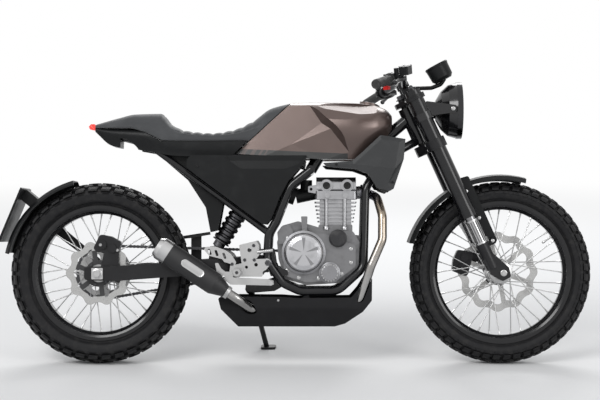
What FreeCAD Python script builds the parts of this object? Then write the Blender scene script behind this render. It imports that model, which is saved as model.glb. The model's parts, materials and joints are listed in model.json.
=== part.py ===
import FreeCAD, Part
import math
import os

# A light cafe racer motorcycle with block-tread tyres, parked on its side stand.
# Sizes are in millimetres. The machine is drawn upright: +X runs forward from the rear axle,
# +Y to the rider's left and +Z up from the ground. Every piece is then leaned over to the left
# onto the side stand, and the origin goes to the ground below the middle of the leaning machine.

V = FreeCAD.Vector

# Stance
wheelbase = 1360.0
front_axle_x = 1360.0
lean = 8.0  # to the left, onto the side stand
rake = 24.5
yoke_offset = 35.0  # fork legs ahead of the steering axis
axle_lead = 24.0  # front axle ahead of the fork legs
fit = 0.3  # gap between pieces that seat on each other
bearing_fit = 0.1  # gap round an axle in its hub

# Wheels
front_tyre_radius = 308.0
front_tyre_width = 106.0
front_bead = 228.6
front_rim_width = 74.0
rear_tyre_radius = 306.0
rear_tyre_width = 130.0
rear_bead = 215.9
rear_rim_width = 98.0
lug_height = 9.0
middle_row_half = 14.0
block_gap = 6.0  # between the rows of tread blocks
block_share = 0.6  # of a pitch that the outer blocks take
front_pitches = 40
rear_pitches = 32
rim_wall = 5.0
rim_flange = 13.0
rim_well = 10.0
spoke_radius = 1.8
spokes_per_wheel = 36
flange_radius = 38.0
hub_barrel = 21.0
axle_radius = 8.5

# Brakes and final drive
front_disc_radius = 138.0
front_disc_y = 58.0
rear_disc_radius = 110.0
rear_disc_y = -79.0
disc_thickness = 4.0
disc_bore = 30.0
disc_arms = 6
disc_band = 26.0
front_disc_waves = 12
front_wave_height = 5.0
rear_disc_waves = 10
rear_wave_height = 6.5
chain_y = 76.0
chain_width = 12.0
chain_height = 11.0
tooth_room = 2.6  # between the chain's links and the sprockets' pitch circles
tooth_room_half = 3.4
sprocket_teeth = 48
chain_pitch = 12.0
front_sprocket_radius = 27.0
front_sprocket_x = 648.0
front_sprocket_z = 352.0

# Fork, measured up the steering axis from the level of the front axle
leg_y = 95.0
leg_tube_radius = 27.0
leg_tube_low = 217.0
leg_tube_top = 682.0
stanchion_radius = 18.0
casting_radius = 22.0
casting_top = 118.0
low_yoke = 470.0
low_yoke_height = 34.0
top_yoke = 650.0
top_yoke_height = 16.0
yoke_clamp = 7.0
stem_radius = 14.0
head_tube_radius = 27.0
head_bore = 14.1
head_gap = 7.0

# Frame
tube_radius = 14.0
pivot_x = 571.0
pivot_z = 342.0
cradle_y = 106.0
seat_rail_radius = 11.0
pivot_bolt_radius = 8.8
spine_brace = [(762, 0, 735), (610, 0, 706), (560, 0, 694)]
seat_rail = [(697, 90, 670), (640, 90, 688), (330, 86, 704), (150, 60, 748), (30, 34, 778)]
rail_brace = [(570, 103, 444), (172, 71, 737)]
rail_ties = [(560, 90, 691), (300, 83, 709), (44, 36, 774)]

# Swingarm
arm_inner = 88.0
arm_outer = 112.0
arm_pivot_inner = 52.0
arm_pivot_outer = 86.0
tyre_to_cross = 44.0  # from the rear tyre forward to the arm's cross member
shock_lean = 35.0  # from there forward to the shock's lower pin

# Bodywork
seam_low = (461.0, 708.0)  # the joint between seat and tank, from low at the back
seam_high = (657.0, 888.0)
seam_gap = 2.0
tank_reach = 200.0  # how far out the cuts in the tank's flanks run
crease_slant = V(0.55, 1.0, 0.46)  # the way the wall ahead of the flank panels leans
filler_place = V(918, 0, 886)
filler_axis = V(0.22, 0, 0.975)
filler_radius = 28.0
shell = 3.0
shroud_inner = 112.0
cover_inner = 116.0
peg_x = 471.0
peg_z = 312.0
airbox_half = 76.0
pan_half_width = 116.0
fender_half = 62.0
engine_step = [(622, 300), (628, 440), (760, 440), (866, 400), (866, 330), (806, 284), (700, 276)]
clutch_centre = V(691, 0, 376)
filter_centre = V(778, 0, 308)
mudguard_radius = 332.0
front_guard_half = 68.0
front_guard_span = (75.0, 162.0)  # degrees round the front wheel, from straight ahead
rear_guard_span = (106.0, 168.0)

# Exhaust
pipe_radius = 15.0
silencer_radius = 38.0
silencer_tail = V(233, -166, 381)
silencer_nose = V(444, -157, 241)

# Headlamp
lamp_radius = 95.0
lamp_front_x = 1229.0
lamp_z = 860.0
gauge_centre = V(1158, 0, 988)
gauge_tilt = V(-0.47, 0, 0.88).normalize()

# Handlebar and controls
bar_ahead = 22.0
bar_up = 712.0
bar_radius = 11.1
bar_half_span = 388.0
bar_bend_y = 168.0
bar_rise = 26.0
bar_sweep = 108.0
bar_drop = 50.0
grip_length = 116.0
grip_radius = 16.0
perch_back = 142.0  # from the bar's tip to the middle of the lever perch
lever_pivot_ahead = 42.0
lever_reach = 44.0
mirror_bore = 4.25
mirror_depth = 16.0

# Side stand
stand_pivot = V(505.0, 122.0, 252.0)
stand_boss_gap = 6.0  # from the pivot's middle back to the boss
stand_pin_radius = 6.0
stand_foot_x = 560.0
stand_foot_y = 236.0
stand_tilt = 24.0  # how far the pivot's outer end points up
stand_range = 95.0
stand_radius = 9.0
foot_thickness = 8.0


# Shapes


def rod(start, end, radius, bore=0.0):
    run = end - start
    solid = Part.makeCylinder(radius, run.Length, start, run)
    if bore:
        solid = solid.cut(Part.makeCylinder(bore, run.Length, start, run))
    return solid


def box(low, high):
    size = high - low
    return Part.makeBox(size.x, size.y, size.z, low)


def corner_arc(before, corner, after, radius):
    # where the rounding of a corner starts, its middle and where it ends
    back = (before - corner).normalize()
    on = (after - corner).normalize()
    half = back.getAngle(on) / 2
    room = 0.48 * min((before - corner).Length, (after - corner).Length)
    reach = min(radius / math.tan(half), room)
    used = reach * math.tan(half)
    middle = (back + on).normalize() * (used / math.sin(half) - used)
    return corner + back * reach, corner + middle, corner + on * reach


def rounded_edges(points, radius, closed):
    count = len(points)
    corners = range(count) if closed else range(1, count - 1)
    stops = []
    if not closed:
        stops.append([points[0]])
    for i in corners:
        before, corner, after = points[i - 1], points[i], points[(i + 1) % count]
        turn = (corner - before).getAngle(after - corner)
        if radius > 0 and turn > 0.01:
            stops.append(list(corner_arc(before, corner, after, radius)))
        else:
            stops.append([corner])
    if not closed:
        stops.append([points[-1]])
    edges = []
    for i, stop in enumerate(stops):
        if len(stop) == 3:
            edges.append(Part.Arc(*stop).toShape())
        if i + 1 < len(stops) or closed:
            start, end = stop[-1], stops[(i + 1) % len(stops)][0]
            if (end - start).Length > 1e-4:
                edges.append(Part.LineSegment(start, end).toShape())
    return edges


def outline(corners, rounding=0.0):
    return Part.Wire(rounded_edges(corners, rounding, True))


def tube(points, radius, bend, bore=0.0):
    points = [V(*p) for p in points]
    path = Part.Wire(rounded_edges(points, bend, False))

    def swept(size):
        ring = Part.Wire(Part.makeCircle(size, points[0], points[1] - points[0]))
        return path.makePipeShell([ring], True, False)

    return swept(radius).cut(swept(bore)) if bore else swept(radius)


def plate(corners, y_low, y_high, rounding=0.0, holes=()):
    # a flat piece drawn in side view as (x, z) corners
    wire = outline([V(x, y_low, z) for x, z in corners], rounding)
    solid = Part.Face(wire).extrude(V(0, y_high - y_low, 0))
    for x, z, radius in holes:
        solid = solid.cut(rod(V(x, y_low - 1, z), V(x, y_high + 1, z), radius))
    return solid


def plan(corners, z_low, z_high, rounding=0.0):
    # a flat piece drawn from above as (x, y) corners
    wire = outline([V(x, y, z_low) for x, y in corners], rounding)
    return Part.Face(wire).extrude(V(0, 0, z_high - z_low))


def across(corners, x_low, x_high, rounding=0.0):
    # a flat piece drawn from the front as (y, z) corners
    wire = outline([V(x_low, y, z) for y, z in corners], rounding)
    return Part.Face(wire).extrude(V(x_high - x_low, 0, 0))


def lathe(profile, base, axis):
    # profile is (along the axis, radius)
    corners = [V(r, 0, a) for a, r in profile]
    solid = Part.Face(outline(corners)).revolve(V(0, 0, 0), V(0, 0, 1), 360)
    solid.Placement = FreeCAD.Placement(base, FreeCAD.Rotation(V(0, 0, 1), axis))
    return solid


def mirrored(shape):
    return shape.mirror(V(0, 0, 0), V(0, 1, 0))


def pair(shape):
    return [shape, mirrored(shape)]


def joined(first, *others):
    return first.multiFuse(list(others)).removeSplitter()


def without(shape, *others):
    for other in others:
        shape = shape.cut(other)
    return shape


def turned(shape, centre, degrees):
    copy = shape.copy()
    copy.rotate(centre, V(0, 1, 0), degrees)
    return copy


def section(x, low, high, half_width, half_base, waist, fullness):
    # one closed slice across a body: flat base, sides out to the waist, crowned top
    height = high - waist
    over = [V(x, half_base, low), V(x, 0.5 * (half_base + half_width), 0.5 * (low + waist))]
    for step in range(0, 9):
        turn = math.pi * step / 8
        y = half_width * math.copysign(abs(math.cos(turn)) ** (2 / fullness), math.cos(turn))
        over.append(V(x, y, waist + height * abs(math.sin(turn)) ** (2 / fullness)))
    over += [V(x, -p.y, p.z) for p in reversed(over[:2])]
    top = Part.BSplineCurve()
    top.interpolate(Points=over, Parameters=[i / (len(over) - 1) for i in range(len(over))])
    base = Part.LineSegment(over[-1], over[0])
    return Part.Wire([top.toShape(), base.toShape()])


def steady_slopes(xs, values):
    # slopes that never carry a curve past the values it joins
    steps = [(b - a) / (q - p) for a, b, p, q in zip(values, values[1:], xs, xs[1:])]
    slopes = [steps[0]]
    for before, after in zip(steps, steps[1:]):
        slopes.append(0.0 if before * after <= 0 else 2 * before * after / (before + after))
    return slopes + [steps[-1]]


def between(sections, parts):
    # the same sections with evenly blended ones added between neighbours
    xs = [s[0] for s in sections]
    slopes = [steady_slopes(xs, [s[k] for s in sections]) for k in range(1, len(sections[0]))]
    run = []
    for i in range(len(sections) - 1):
        here, there = sections[i], sections[i + 1]
        span = there[0] - here[0]
        for part in range(parts):
            t = part / parts
            blended = [here[0] + t * span]
            for k in range(1, len(here)):
                start, end = slopes[k - 1][i] * span, slopes[k - 1][i + 1] * span
                blended.append((2 * t ** 3 - 3 * t ** 2 + 1) * here[k] + (t ** 3 - 2 * t ** 2 + t) * start
                               + (3 * t ** 2 - 2 * t ** 3) * there[k] + (t ** 3 - t ** 2) * end)
            run.append(tuple(blended))
    return run + [sections[-1]]


def loft(sections, parts=3):
    return Part.makeLoft([section(*s) for s in between(sections, parts)], True, False)


# Places on the running gear

rake_turn = math.radians(rake)
fork_up = V(-math.sin(rake_turn), 0, math.cos(rake_turn))
fork_forward = V(math.cos(rake_turn), 0, math.sin(rake_turn))
front_axle = V(front_axle_x, 0, front_tyre_radius)
rear_axle = V(front_axle_x - wheelbase, 0, rear_tyre_radius)
axle_ahead = yoke_offset + axle_lead
steering_foot = front_axle - fork_forward * axle_ahead
arm_cross_x = rear_axle.x + rear_tyre_radius + tyre_to_cross
shock_foot = V(arm_cross_x + shock_lean, 0, 375)
shock_head = V(512, 0, 578)


def on_fork(ahead, up, y=0.0):
    # a point given as the distance ahead of the steering axis, the distance up it, and sideways
    return steering_foot + fork_forward * ahead + fork_up * up + V(0, y, 0)


def fork_plate(corners, y_low, y_high, rounding=0.0):
    wire = outline([on_fork(a, u, y_low) for a, u in corners], rounding)
    return Part.Face(wire).extrude(V(0, y_high - y_low, 0))


# Wheels


def wheel_ring(profile, centre, rounding=0.0):
    # profile is (sideways, radius)
    face = Part.Face(outline([V(0, y, r) for y, r in profile], rounding))
    ring = face.revolve(V(0, 0, 0), V(0, 1, 0), 360)
    ring.translate(centre)
    return ring


def rim_profile(bead, width):
    half = width / 2
    seat = half - rim_wall
    hump = seat - 14.0
    well = hump - 7.0
    over = [(well, bead - rim_well), (hump, bead - 1.5), (seat, bead), (seat, bead + rim_flange),
            (half, bead + rim_flange), (half, bead + 2.0), (half - 3.0, bead - rim_wall)]
    over += [(hump, bead - rim_wall - 1.5), (well - 2.0, bead - rim_well - rim_wall)]
    outer = over[:4]
    inner = over[4:]
    left = outer + inner
    right = [(-y, r) for y, r in reversed(left)]
    return left + right


def rim(bead, width, centre):
    return wheel_ring(rim_profile(bead, width), centre)


def tyre(radius, width, bead, rim_width, pitches, centre):
    # a flat-sided ring with three rows of tread blocks, the middle row half a pitch on from the outer two
    seat = rim_width / 2 - rim_wall - fit
    half = width / 2
    groove = radius - lug_height
    row_edge = middle_row_half
    row_start = row_edge + block_gap
    bore = (bead + fit) / math.cos(math.pi * block_share / pitches)
    bead_part = [(seat, bore), (seat, bead + rim_flange + 1.0), (half - 1.5, bead + 0.48 * (radius - bead)),
                 (half - 0.5, radius - 38.0)]
    foot = [(row_start, groove - 3.0), (row_edge, groove)]
    outer_rows = bead_part + [(half - 5.0, radius - 18.0), (row_start, radius - 2.5)] + foot
    middle_row = bead_part + foot + [(row_edge, radius)]
    sections = [outer_rows, middle_row]
    faces = []
    turns = []
    for number in range(pitches):
        turns += [360.0 / pitches * number, 360.0 / pitches * (number + block_share)]
    for number, turn in enumerate(turns):
        profile = sections[number % 2]
        profile = profile + [(-y, r) for y, r in reversed(profile)]
        here = round_points(profile, turn)
        there = round_points(profile, turns[(number + 1) % len(turns)])
        for i in range(len(profile)):
            j = (i + 1) % len(profile)
            faces.append(flat_face(here[i], here[j], there[j], there[i]))
        shoulder = outer_rows[3:7]
        for block in (shoulder, [(-y, r) for y, r in shoulder],
                      [foot[1], middle_row[-1], (-row_edge, radius), (-row_edge, groove)]):
            faces.append(flat_face(*round_points(block, turn)))
    ring = solid_of(faces)
    ring.translate(centre)
    return ring


def round_points(profile, turn):
    # (sideways, radius) points of a wheel's section at one angle round it
    angle = math.radians(turn - 90.0)
    return [V(r * math.cos(angle), y, r * math.sin(angle)) for y, r in profile]


def flat_face(*corners):
    return Part.Face(Part.makePolygon(list(corners) + [corners[0]]))


def spoke_ends(number, bead, flange_y):
    # where one spoke starts at the hub flange and where its nipple meets the rim
    side = 1 if number % 2 else -1
    lead = 1 if (number // 2) % 2 else -1
    rim_turn = 2 * math.pi * number / spokes_per_wheel
    hub_turn = rim_turn - lead * math.radians(68.0)
    hub_radius = flange_radius - 5.0
    rim_radius = bead - rim_well - rim_wall - fit
    hub_end = V(hub_radius * math.cos(hub_turn), side * (flange_y - 2.0 * lead),
                hub_radius * math.sin(hub_turn))
    rim_end = V(rim_radius * math.cos(rim_turn), side * 5.0, rim_radius * math.sin(rim_turn))
    return hub_end, rim_end


def laced_hub(profile, bead, flange_y, centre):
    hub = wheel_ring(profile, V(0, 0, 0))
    spokes = []
    for number in range(spokes_per_wheel):
        hub_end, rim_end = spoke_ends(number, bead, flange_y)
        spokes.append(rod(hub_end, rim_end, spoke_radius))
    hub = hub.multiFuse(spokes)
    hub.translate(centre)
    return hub


def hub_profile(left, left_radius, right, right_radius, flange_y):
    bore = axle_radius + bearing_fit
    # left and right are how far the brake or sprocket carriers stand out
    return [(left, bore), (left, left_radius), (flange_y + 8.0, left_radius), (flange_y + 3.0, flange_radius),
            (flange_y - 3.0, flange_radius), (flange_y - 8.0, hub_barrel),
            (8.0 - flange_y, hub_barrel), (3.0 - flange_y, flange_radius),
            (-3.0 - flange_y, flange_radius), (-8.0 - flange_y, right_radius), (right, right_radius),
            (right, bore)]


def wave_wire(radius, waves, height, y):
    # a closed line of arcs that swings in and out round the wheel's axis
    def at(phase):
        turn = 2 * math.pi * phase / waves
        r = radius + height * math.cos(2 * math.pi * phase)
        return V(r * math.cos(turn), y, r * math.sin(turn))

    arcs = []
    for i in range(waves):
        arcs.append(Part.Arc(at(i - 0.25), at(i), at(i + 0.25)).toShape())
        arcs.append(Part.Arc(at(i + 0.25), at(i + 0.5), at(i + 0.75)).toShape())
    return Part.Wire(arcs)


def brake_disc(radius, y, waves, wave_height, centre):
    # a wavy band on slanted arms round a bolting ring
    start = y - disc_thickness / 2
    thick = V(0, disc_thickness, 0)
    mean_out = radius - wave_height
    mean_in = mean_out - disc_band
    band = Part.Face(wave_wire(mean_out, waves, wave_height, start)).extrude(thick)
    band = band.cut(Part.Face(wave_wire(mean_in, waves, wave_height, start)).extrude(thick))
    ring = rod(V(0, start, 0), V(0, start + disc_thickness, 0), disc_bore + 15.0, disc_bore)
    arms = []
    for i in range(disc_arms):
        arm = plate([(disc_bore + 8.0, -9.0), (mean_in + 8.0, -15.0), (mean_in + 8.0, 1.0),
                     (disc_bore + 8.0, 7.0)],
                    start, start + disc_thickness)
        arms.append(turned(arm, V(0, 0, 0), 360 / disc_arms * i + 15))
    disc = joined(band, ring, *arms)
    disc.translate(centre)
    return disc


# Front end pieces


def front_axle_piece():
    reach = leg_y + casting_radius + 6.0
    across_bike = V(0, 1, 0)
    axle = rod(front_axle - across_bike * reach, front_axle + across_bike * reach, axle_radius)
    collars = []
    for side, start in ((-1, 46.0), (1, 63.5)):
        collars.append(rod(front_axle + across_bike * side * start,
                           front_axle + across_bike * side * (leg_y - casting_radius - fit), 13.0))
    return joined(axle, *collars)


def fork_casting():
    # the lower leg casting that carries the axle ahead of the leg
    lower = rod(on_fork(yoke_offset, 28.0, leg_y), on_fork(yoke_offset, casting_top, leg_y), casting_radius)
    lug = fork_plate([(yoke_offset - 20, 70), (yoke_offset - 16, 12), (axle_ahead - 14, -24),
                      (axle_ahead + 18, -22), (axle_ahead + 24, 10), (yoke_offset + 20, 75)],
                     leg_y - casting_radius, leg_y + casting_radius - 4.0, 9.0)
    hole = rod(front_axle + V(0, 60, 0), front_axle + V(0, 130, 0), axle_radius + bearing_fit)
    socket = rod(on_fork(yoke_offset, casting_top - 22, leg_y), on_fork(yoke_offset, casting_top + 1, leg_y),
                 stanchion_radius + fit)
    return joined(lower, lug).cut(hole).cut(socket)


def stanchion():
    return rod(on_fork(yoke_offset, casting_top - 22, leg_y), on_fork(yoke_offset, leg_tube_low + 30, leg_y),
               stanchion_radius)


def fork_tube():
    tube_piece = rod(on_fork(yoke_offset, leg_tube_low, leg_y), on_fork(yoke_offset, leg_tube_top, leg_y),
                     leg_tube_radius)
    collar = rod(on_fork(yoke_offset, leg_tube_low, leg_y), on_fork(yoke_offset, leg_tube_low + 26, leg_y),
                 leg_tube_radius + 2.0)
    cap = rod(on_fork(yoke_offset, leg_tube_top, leg_y), on_fork(yoke_offset, leg_tube_top + 8, leg_y), 16.0)
    socket = rod(on_fork(yoke_offset, leg_tube_low - 1, leg_y),
                 on_fork(yoke_offset, leg_tube_low + 30, leg_y),
                 stanchion_radius + fit)
    return joined(tube_piece, collar, cap).cut(socket)


def yoke(up, height):
    clamp = leg_tube_radius + yoke_clamp
    bridge_corners = [on_fork(-30, up, -26), on_fork(-30, up, 26), on_fork(yoke_offset - 14, up, leg_y + 6),
                      on_fork(yoke_offset + 22, up, leg_y + 4), on_fork(24, up, 30), on_fork(24, up, -30),
                      on_fork(yoke_offset + 22, up, -leg_y - 4), on_fork(yoke_offset - 14, up, -leg_y - 6)]
    bridge = Part.Face(outline(bridge_corners, 8.0)).extrude(fork_up * height)
    for side in (-1, 1):
        at = side * leg_y
        bridge = bridge.fuse(rod(on_fork(yoke_offset, up, at), on_fork(yoke_offset, up + height, at), clamp))
    for side in (-1, 1):
        at = side * leg_y
        bridge = bridge.cut(rod(on_fork(yoke_offset, up - 1, at), on_fork(yoke_offset, up + height + 1, at),
                                leg_tube_radius + fit))
    return bridge


def yokes():
    stem = rod(on_fork(0, low_yoke), on_fork(0, top_yoke + top_yoke_height + 10), stem_radius)
    risers = []
    for side in (-1, 1):
        y = side * 38.0
        risers.append(fork_plate([(8, top_yoke + 4), (34, top_yoke + 4), (34, bar_up), (8, bar_up)], y - 11,
                                 y + 11, 4.0))
    whole = joined(yoke(low_yoke, low_yoke_height), yoke(top_yoke, top_yoke_height), stem, *risers)
    return without(whole, bar_clearance())


def bar_points():
    middle = on_fork(bar_ahead, bar_up)
    low = [V(middle.x, 62, middle.z), V(middle.x - 10, bar_bend_y, middle.z + bar_rise)]
    tip = V(middle.x - bar_sweep, bar_half_span, middle.z + bar_rise - bar_drop)
    left = low + [tip]
    right = [V(p.x, -p.y, p.z) for p in reversed(left)]
    return right + left


def bar_clearance():
    points = bar_points()
    return rod(points[2] + V(0, -5, 0), points[3] + V(0, 5, 0), bar_radius + fit)


def handlebar():
    return tube([(p.x, p.y, p.z) for p in bar_points()], bar_radius, 60.0, 8.0)


def bar_direction():
    bend, tip = bar_points()[-2:]
    return (tip - bend).normalize(), tip


def grip():
    along, tip = bar_direction()
    inner = tip - along * grip_length
    body = rod(inner, tip + along * 3.0, grip_radius)
    collar = rod(inner, inner + along * 5.0, grip_radius + 4.0)
    end = rod(tip + along * 3.0, tip + along * 9.0, grip_radius - 1.0)
    return joined(body, collar, end).cut(rod(inner - along, tip, bar_radius + fit))


def lever_frame():
    # across the grip, seen from the rider: forward and up, square to the bar's end
    along, tip = bar_direction()
    ahead = V(0, 0, 1).cross(along)
    if ahead.x < 0:
        ahead = ahead * -1
    ahead = ahead.normalize()
    rise = ahead.cross(along).normalize()
    if rise.z < 0:
        rise = rise * -1
    return along, tip, ahead, rise


def perch_point(back, ahead_by, rise_by):
    along, tip, ahead, rise = lever_frame()
    return tip - along * back + ahead * ahead_by + rise * rise_by


def hand_control():
    # perch clamp, switch housing and mirror boss of one hand
    clamp = rod(perch_point(perch_back + 12, 0, 0), perch_point(perch_back - 12, 0, 0), 18.0)
    housing = rod(perch_point(perch_back - 10, 0, 0), perch_point(grip_length + 2, 0, 0), 21.0)
    neck = lever_plate([(perch_back + 14, 0), (perch_back + 14, lever_pivot_ahead - 2),
                        (perch_back - 2, lever_pivot_ahead - 2), (perch_back - 14, lever_pivot_ahead - 16),
                        (perch_back - 14, 0)], -7.0, 14.0, 3.0)
    boss = rod(perch_point(perch_back, 16, 6), perch_point(perch_back, 16, 34), 8.0)
    bore = rod(perch_point(perch_back, 16, 34 - mirror_depth), perch_point(perch_back, 16, 35), mirror_bore)
    hole = rod(perch_point(perch_back + 30, 0, 0), perch_point(80, 0, 0), bar_radius + fit)
    pin_room = rod(perch_point(perch_back, lever_pivot_ahead, -20),
                   perch_point(perch_back, lever_pivot_ahead, 20),
                   8.0 + fit)
    return without(joined(clamp, housing, neck, boss), bore, hole, pin_room)


def lever_plate(corners, rise_low, thickness, rounding=0.0):
    # a flat piece in the plane of the hand lever, drawn as (back from the bar's tip, ahead)
    rise = lever_frame()[3]
    face = Part.Face(outline([perch_point(back, ahead, rise_low) for back, ahead in corners], rounding))
    return face.extrude(rise * thickness)


def hand_lever():
    # a blade lever from its pivot out along the grip to a ball end
    pivot = rod(perch_point(perch_back, lever_pivot_ahead, -7),
                perch_point(perch_back, lever_pivot_ahead, 7), 8.0)
    route = [(perch_back, lever_pivot_ahead), (perch_back - 32, lever_reach + 8),
             (perch_back - 62, lever_reach), (20.0, lever_reach + 10)]
    blade = tube([perch_point(back, ahead, 0) for back, ahead in route], 5.5, 40.0)
    ball = Part.makeSphere(8.0, perch_point(*route[-1], 0))
    return joined(pivot, blade, ball)


def brake_reservoir():
    # the front brake's fluid box on the right-hand perch
    low = [(perch_back + 40, 26), (perch_back + 40, 58), (perch_back - 8, 58), (perch_back - 8, 26)]
    foot = lever_plate([(perch_back + 20, 20), (perch_back + 20, 34), (perch_back - 6, 34),
                        (perch_back - 6, 20)],
                       0.0, 12.0, 3.0)
    return mirrored(joined(lever_plate(low, 10.0, 24.0, 6.0), lever_plate(low, 34.0, 4.0, 6.0), foot))


def headlamp():
    # the bowl with its rim, held between two brackets clamped to the fork tubes
    depth = 88.0
    centre = V(lamp_front_x, 0, lamp_z)
    bowl = lathe([(0, 0), (0, lamp_radius + 2), (-18, lamp_radius + 2), (-18, lamp_radius),
                  (-46, lamp_radius - 8), (-70, lamp_radius - 30), (-depth, 34), (-depth, 0)], centre,
                  V(1, 0, 0))
    hollow = lathe([(1, 0), (1, lamp_radius - 8), (-16, lamp_radius - 8), (-40, lamp_radius - 18),
                    (-60, lamp_radius - 50), (-66, 0)], centre, V(1, 0, 0))
    return without(joined(bowl, *pair(lamp_bracket())), hollow)


def headlamp_lens():
    profile = [(0, 0), (0, lamp_radius - 8 - fit), (-8, lamp_radius - 8 - fit), (-8, 0)]
    return lathe(profile, V(lamp_front_x + 1, 0, lamp_z), V(1, 0, 0))


def lamp_bracket():
    # an arm from the fork leg's clamp forward to the bolt on the bowl's flank
    low = lamp_z - 24
    ear_x = lamp_front_x - 36
    ear = plate([(ear_x - 96, lamp_z + 26), (ear_x + 12, lamp_z + 12), (ear_x + 12, lamp_z - 12),
                 (ear_x - 78, low)], leg_y + 3.4, leg_y + 7.4, 6.0)
    bolt = rod(V(ear_x, lamp_radius - 20, lamp_z), V(ear_x, leg_y + 12, lamp_z), 7.0)
    band = rod(on_fork(yoke_offset, 575, leg_y), on_fork(yoke_offset, 600, leg_y), leg_tube_radius + 5.0,
               leg_tube_radius + fit)
    leg = rod(on_fork(yoke_offset, 500, leg_y), on_fork(yoke_offset, 690, leg_y), leg_tube_radius + fit)
    return joined(ear, bolt, band).cut(leg)


def gauge():
    body = lathe([(-26, 0), (-26, 30), (-16, 38), (22, 40), (28, 42), (32, 40), (32, 36), (30, 36), (30, 0)],
                 gauge_centre, gauge_tilt)
    return joined(body, gauge_strap())


def gauge_strap():
    # from the bar clamps forward to the gauge's base
    start = on_fork(34 + fit + 7, bar_up - 14)
    strap = tube([(start.x, 0, start.z), (1128, 0, 938), (1160, 0, 950), (1173, 0, 970)], 7.0, 20.0)
    spread = rod(V(start.x, -52, start.z), V(start.x, 52, start.z), 7.0)
    return joined(strap, spread)


def front_mudguard():
    start, end = front_guard_span
    half = front_guard_half
    profile = [(-half, mudguard_radius - 16), (-half + 12, mudguard_radius - 4), (0, mudguard_radius + 2),
               (half - 12, mudguard_radius - 4), (half, mudguard_radius - 16), (half, mudguard_radius - 20),
               (half - shell, mudguard_radius - 20), (half - 14, mudguard_radius - 7),
               (0, mudguard_radius - 1), (14 - half, mudguard_radius - 7),
               (shell - half, mudguard_radius - 20), (-half, mudguard_radius - 20)]
    face = Part.Face(outline([V(r, y, 0) for y, r in profile]))
    guard = face.revolve(V(0, 0, 0), V(0, 1, 0), -(end - start))
    guard.rotate(V(0, 0, 0), V(0, 1, 0), -start)
    guard.translate(front_axle)
    stays = []
    for side in (-1, 1):
        low = side * (half - shell) if side > 0 else -half
        stays.append(fork_plate([(66, 98), (90, 104), (92, mudguard_radius + 13), (40, mudguard_radius + 20),
                                 (44, 250), (60, 200)], low, low + shell, 8.0))
        edge = side * half
        stays.append(rod(on_fork(74, 112, edge - side * shell), on_fork(74, 112, side * (leg_y - 16)), 8.0))
        stays.append(fork_plate([(yoke_offset + 16, 100), (82, 100), (82, 124), (yoke_offset + 16, 112)],
                                side * (leg_y - 16) - 5, side * (leg_y - 16) + 5, 3.0))
    whole = joined(guard, *stays)
    for side in (-1, 1):
        whole = without(whole, rod(on_fork(yoke_offset, 20, side * leg_y),
                                   on_fork(yoke_offset, 130, side * leg_y),
                                   casting_radius + fit))
    return whole


def caliper(centre, y, turn, radius):
    # two pistons' housings astride the disc, with a slot for it
    body = plate([(radius - 40, -44), (radius + 16, -38), (radius + 22, 0), (radius + 16, 38),
                  (radius - 40, 44)],
                 y - 20, y + 20, 10.0)
    slot = rod(V(0, y - 4, 0), V(0, y + 4, 0), radius + 7)
    piston = rod(V(radius - 14, y - 28, 18), V(radius - 14, y - 20, 18), 14.0)
    piston_two = rod(V(radius - 14, y - 28, -18), V(radius - 14, y - 20, -18), 14.0)
    body = joined(body, piston, piston_two).cut(slot)
    body.rotate(V(0, 0, 0), V(0, 1, 0), turn)
    body.translate(centre)
    return body


def front_caliper():
    body = caliper(front_axle, front_disc_y, 195.0, front_disc_radius)
    bracket = fork_plate([(yoke_offset - 14, 60), (yoke_offset - 14, 100), (-58, 98), (-62, 58)],
                         leg_y - casting_radius + 4, leg_y - casting_radius + 12, 6.0)
    lug = fork_plate([(-62, 50), (-62, 104), (-36, 104), (-36, 50)], 70.0, leg_y - casting_radius + 12, 4.0)
    legs = rod(on_fork(yoke_offset, 20, leg_y), on_fork(yoke_offset, 130, leg_y), casting_radius + fit)
    return joined(body, bracket, lug).cut(legs).cut(fork_casting())


# Frame and running gear


def cradle_side(gain=0.0):
    head_low = on_fork(-12, low_yoke + low_yoke_height + head_gap + 14)
    points = [(715, cradle_y - 6, 655), (645, cradle_y - 2, 600), (598, cradle_y, 481), (573, cradle_y, 438),
              (568, cradle_y, 350), (621, cradle_y - 2, 273), (680, cradle_y - 6, 246),
              (804, cradle_y - 10, 246), (893, 76, 325), (900, 62, 590), (958, 48, 690),
              (head_low.x, 14, head_low.z)]
    return tube(points, tube_radius + gain, 60.0)


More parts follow.
